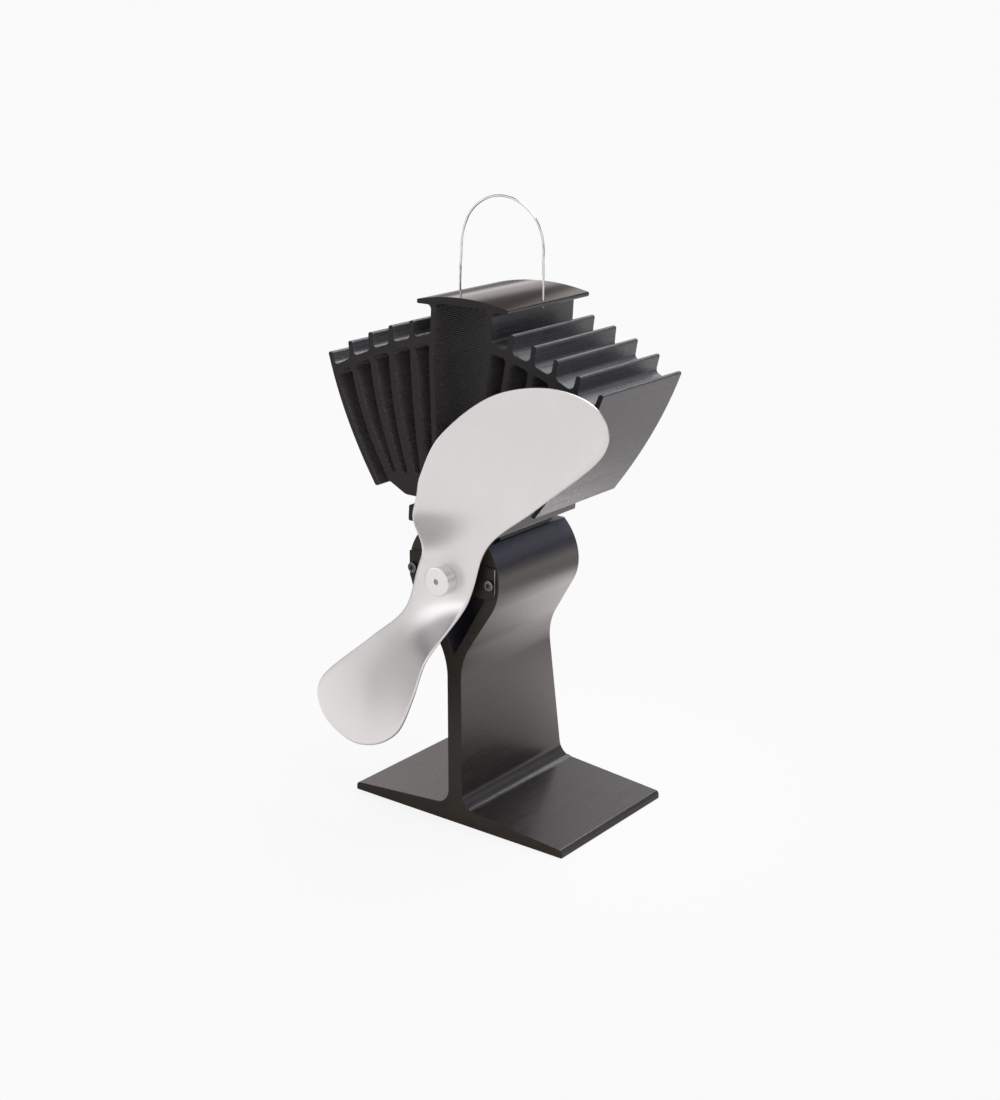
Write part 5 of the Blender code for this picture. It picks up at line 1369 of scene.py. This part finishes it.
def make_walls():
    """Make the studio's walls and dark ceiling, a dome that only reflections see.

    Its brightness follows the sine of the height angle, through the stops of WALL_STOPS, but in
    front the wall is bright up to the ceiling, and behind a narrow dark card hangs before it. The
    ceiling and the wall behind on the right are a little blue.
    """
    finish = Finish("studio_walls")
    place = finish.place()
    way, _ = level_way(finish, place)
    upright = finish.vector("DOT_PRODUCT", finish.vector("NORMALIZE", place), (0, 0, 1),
                            output="Value")
    share = finish.node("ShaderNodeValToRGB", {"stops": WALL_STOPS}, {"Fac": upright})
    front = finish.towards(way, FRONT_WALL_WAY, *FRONT_WALL_COSINES)
    card = finish.towards(way, DARK_CARD_WAY, *DARK_CARD_COSINES)
    card = card * finish.between(upright, *DARK_CARD_SINES)
    share = share * (1 - (1 - DARK_CARD_LEVEL) * card)
    level = studio_level(finish, place) * (share + front * (FRONT_WALL_LEVEL - share))
    ceiling = finish.between(upright, *CEILING_SINES) * (1 - front)
    aside = finish.towards(way, COOL_WALL_WAY, *COOL_WALL_COSINES)
    aside = aside * finish.between(upright, *COOL_WALL_SINES)
    tint = finish.mix(ceiling + aside * (1 - ceiling), STUDIO_TINT, CEILING_TINT)
    finish.show(glow(finish, tint, level))
    rise = np.radians(np.linspace(-4, 90, DOME_RINGS))
    profile = np.stack([DOME_RADIUS * np.cos(rise), DOME_RADIUS * np.sin(rise)], axis=1)
    points, _ = turned_surface(profile, (0, 0, 0), DOME_SEGMENTS, upright=True)
    faces = ring_faces(DOME_RINGS, DOME_SEGMENTS)
    walls = studio_part("studio_walls", points.tolist(), faces, finish.material)
    walls.visible_camera = False
    walls.visible_diffuse = False
    walls.visible_shadow = False
    walls.visible_transmission = False


def make_world():
    """Make the world: an even soft light, white to the camera and to reflections."""
    world = bpy.data.worlds.new("studio")
    bpy.context.scene.world = world
    world.use_nodes = True
    world.node_tree.nodes.clear()
    sky = Nodes(world.node_tree)
    soft, white = (sky.node("ShaderNodeBackground", {}, {"Color": (1, 1, 1), "Strength": strength})
                   for strength in (WORLD_STRENGTH, BACKGROUND_LEVEL))
    mixed = sky.node("ShaderNodeMixShader", {}, {0: sky.rays(*SEEN_RAYS), 1: soft, 2: white})
    output = sky.tree.nodes.new("ShaderNodeOutputWorld")
    feed(sky.tree, output.inputs["Surface"], mixed)


def soft_lamp(name, place, target, size, power, colour=(1.0, 1.0, 1.0)):
    """Hang a square soft lamp at a place, turned to its target, all in metres."""
    data = bpy.data.lights.new(name, "AREA")
    data.shape = "RECTANGLE"
    data.size, data.size_y = size
    data.energy = power
    data.color = colour
    lamp = add_object(name, data)
    lamp.location = place
    direction = Vector(target) - Vector(place)
    lamp.rotation_euler = direction.to_track_quat("-Z", "Y").to_euler()


def make_camera():
    """Set the camera to the photograph's place and view."""
    level = math.cos(CAMERA_ELEVATION)
    back = Vector((math.sin(CAMERA_AZIMUTH) * level, -math.cos(CAMERA_AZIMUTH) * level,
                   math.sin(CAMERA_ELEVATION)))
    right = Vector((math.cos(CAMERA_AZIMUTH), math.sin(CAMERA_AZIMUTH), 0))
    data = bpy.data.cameras.new("photo_camera")
    data.lens = CAMERA_LENS
    data.clip_start = 0.01
    camera = add_object("photo_camera", data)
    turn = Matrix((right, back.cross(right), back)).transposed().to_4x4()
    camera.matrix_world = Matrix.Translation(CAMERA_PLACE) @ turn
    bpy.context.scene.camera = camera


def dress(nodes, material):
    """Give CAD nodes that stay a better material."""
    for node in nodes:
        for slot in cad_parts[node].material_slots:
            slot.material = material


make_camera()
make_world()
make_stage()
make_walls()
soft_lamp("back_softbox", (-0.14, 0.84, 1.2), (0, 0, 0.1), (1.0, 0.75), 8.5, (0.88, 0.93, 1.0))
soft_lamp("top_softbox", (0.35, 0.1, 1.3), (0, 0, 0.12), (0.9, 0.5), 11.0, (1.0, 0.97, 0.94))
soft_lamp("front_left_softbox", (-0.98, -0.69, 0.22), (0, 0, 0.12), (0.6, 0.4), 0.8)

brushed = brushed_black()
# Drawn finishes: the second colour is the ribs' painted crest highlight, blended with a random tone
drawn = drawn_black("fin_drawn_black_painted_rib_highlights", (0.006, 0.0052, 0.0068), (0.078, 0.073, 0.084), 0.00003, 2.0)
# Painted light: the cells' copy of the drawn finish is lighter than the fins', making up for the shade
# inside the cells
inside = drawn_black("cell_drawn_black_painted_light", (0.035, 0.030, 0.034), (0.17, 0.155, 0.17), 0.000012, 1.5)
channel = drawn_black("channel_drawn_black_painted_rib_highlights", (0.004, 0.0034, 0.004), (0.10, 0.09, 0.10),
                      0.000012, 1.35)
base_ends = sawn_black("base_sawn_end", (0.019, 0.015, 0.0115), (0.038, 0.031, 0.024),
                       (0.027, 0.024, 0.011))
sink_ends = sawn_black("heat_sink_sawn_end", (0.009, 0.0075, 0.008), (0.021, 0.0175, 0.019),
                       (0.016, 0.0135, 0.0145))
hollow = plain_matter("base_hollow_black", (0.012, 0.013, 0.019), (0.030, 0.032, 0.044), 0.3, 900.0,
                      0.000006, 1.7)
turned = turned_aluminium()
oxide = black_oxide("bracket_black_oxide", (0.013, 0.0100, 0.0074), (0.028, 0.022, 0.0165), 1.3, 0.3)
screw_oxide = black_oxide("screw_black_oxide", (0.008, 0.0075, 0.007), (0.03, 0.028, 0.026), 1.4, 0.16)
sheared = strip_metal("bracket_sheared_edge", (0.34, 0.33, 0.32), (0.62, 0.61, 0.60))
zinc = zinc_plate()

make_base([brushed, base_ends, hollow])
make_heat_sink([drawn, sink_ends, polished_black(), inside, channel])
make_blade(satin_aluminium())
make_hub(turned)
make_bracket(oxide, sheared)
make_screws(screw_oxide, zinc)
make_bail(drawn_wire())

dress(["thermoelectric_module"],
      plain_matter("module_alumina", (0.72, 0.71, 0.67), (0.86, 0.85, 0.82), 0.45, 900.0, 0.00001))
dress(["thermal_pad_lower", "thermal_pad_upper"],
      plain_matter("pad_graphite", (0.035, 0.035, 0.038), (0.09, 0.09, 0.095), 0.4, 700.0, 0.00001))
dress(["module_seal"],
      plain_matter("seal_silicone", (0.018, 0.018, 0.018), (0.04, 0.04, 0.04), 0.6, 800.0))
dress(["motor_end_cap"],
      plain_matter("end_cap_plastic", (0.02, 0.02, 0.022), (0.045, 0.045, 0.048), 0.42, 1200.0))
dress(["magnet_left", "magnet_right"],
      plain_matter("magnet_ferrite", (0.04, 0.04, 0.042), (0.09, 0.09, 0.09), 0.55, 1100.0, 0.00003))
dress(["lead_red"],
      plain_matter("red_sleeve", (0.36, 0.018, 0.012), (0.52, 0.04, 0.028), 0.42, 600.0))
dress(["lead_black"],
      plain_matter("black_sleeve", (0.014, 0.014, 0.014), (0.032, 0.032, 0.032), 0.42, 600.0))
dress(["motor_case", "terminal_left", "terminal_right"], zinc)
dress(["front_bush", "rear_bush"],
      strip_metal("bush_bronze", (0.34, 0.20, 0.08), (0.56, 0.36, 0.17)))
dress(["brush_left", "brush_right", "commutator"],
      strip_metal("copper_strip", (0.58, 0.25, 0.12), (0.80, 0.40, 0.22)))
dress(["motor_shaft"], strip_metal("shaft_steel", (0.22, 0.215, 0.21), (0.4, 0.39, 0.38)))
dress(["blade_collar"], turned)
dress(["armature_core"], laminated_steel())
dress(["armature_coil_1", "armature_coil_2", "armature_coil_3"], wound_copper())

bpy.context.scene.view_settings.view_transform = "Standard"
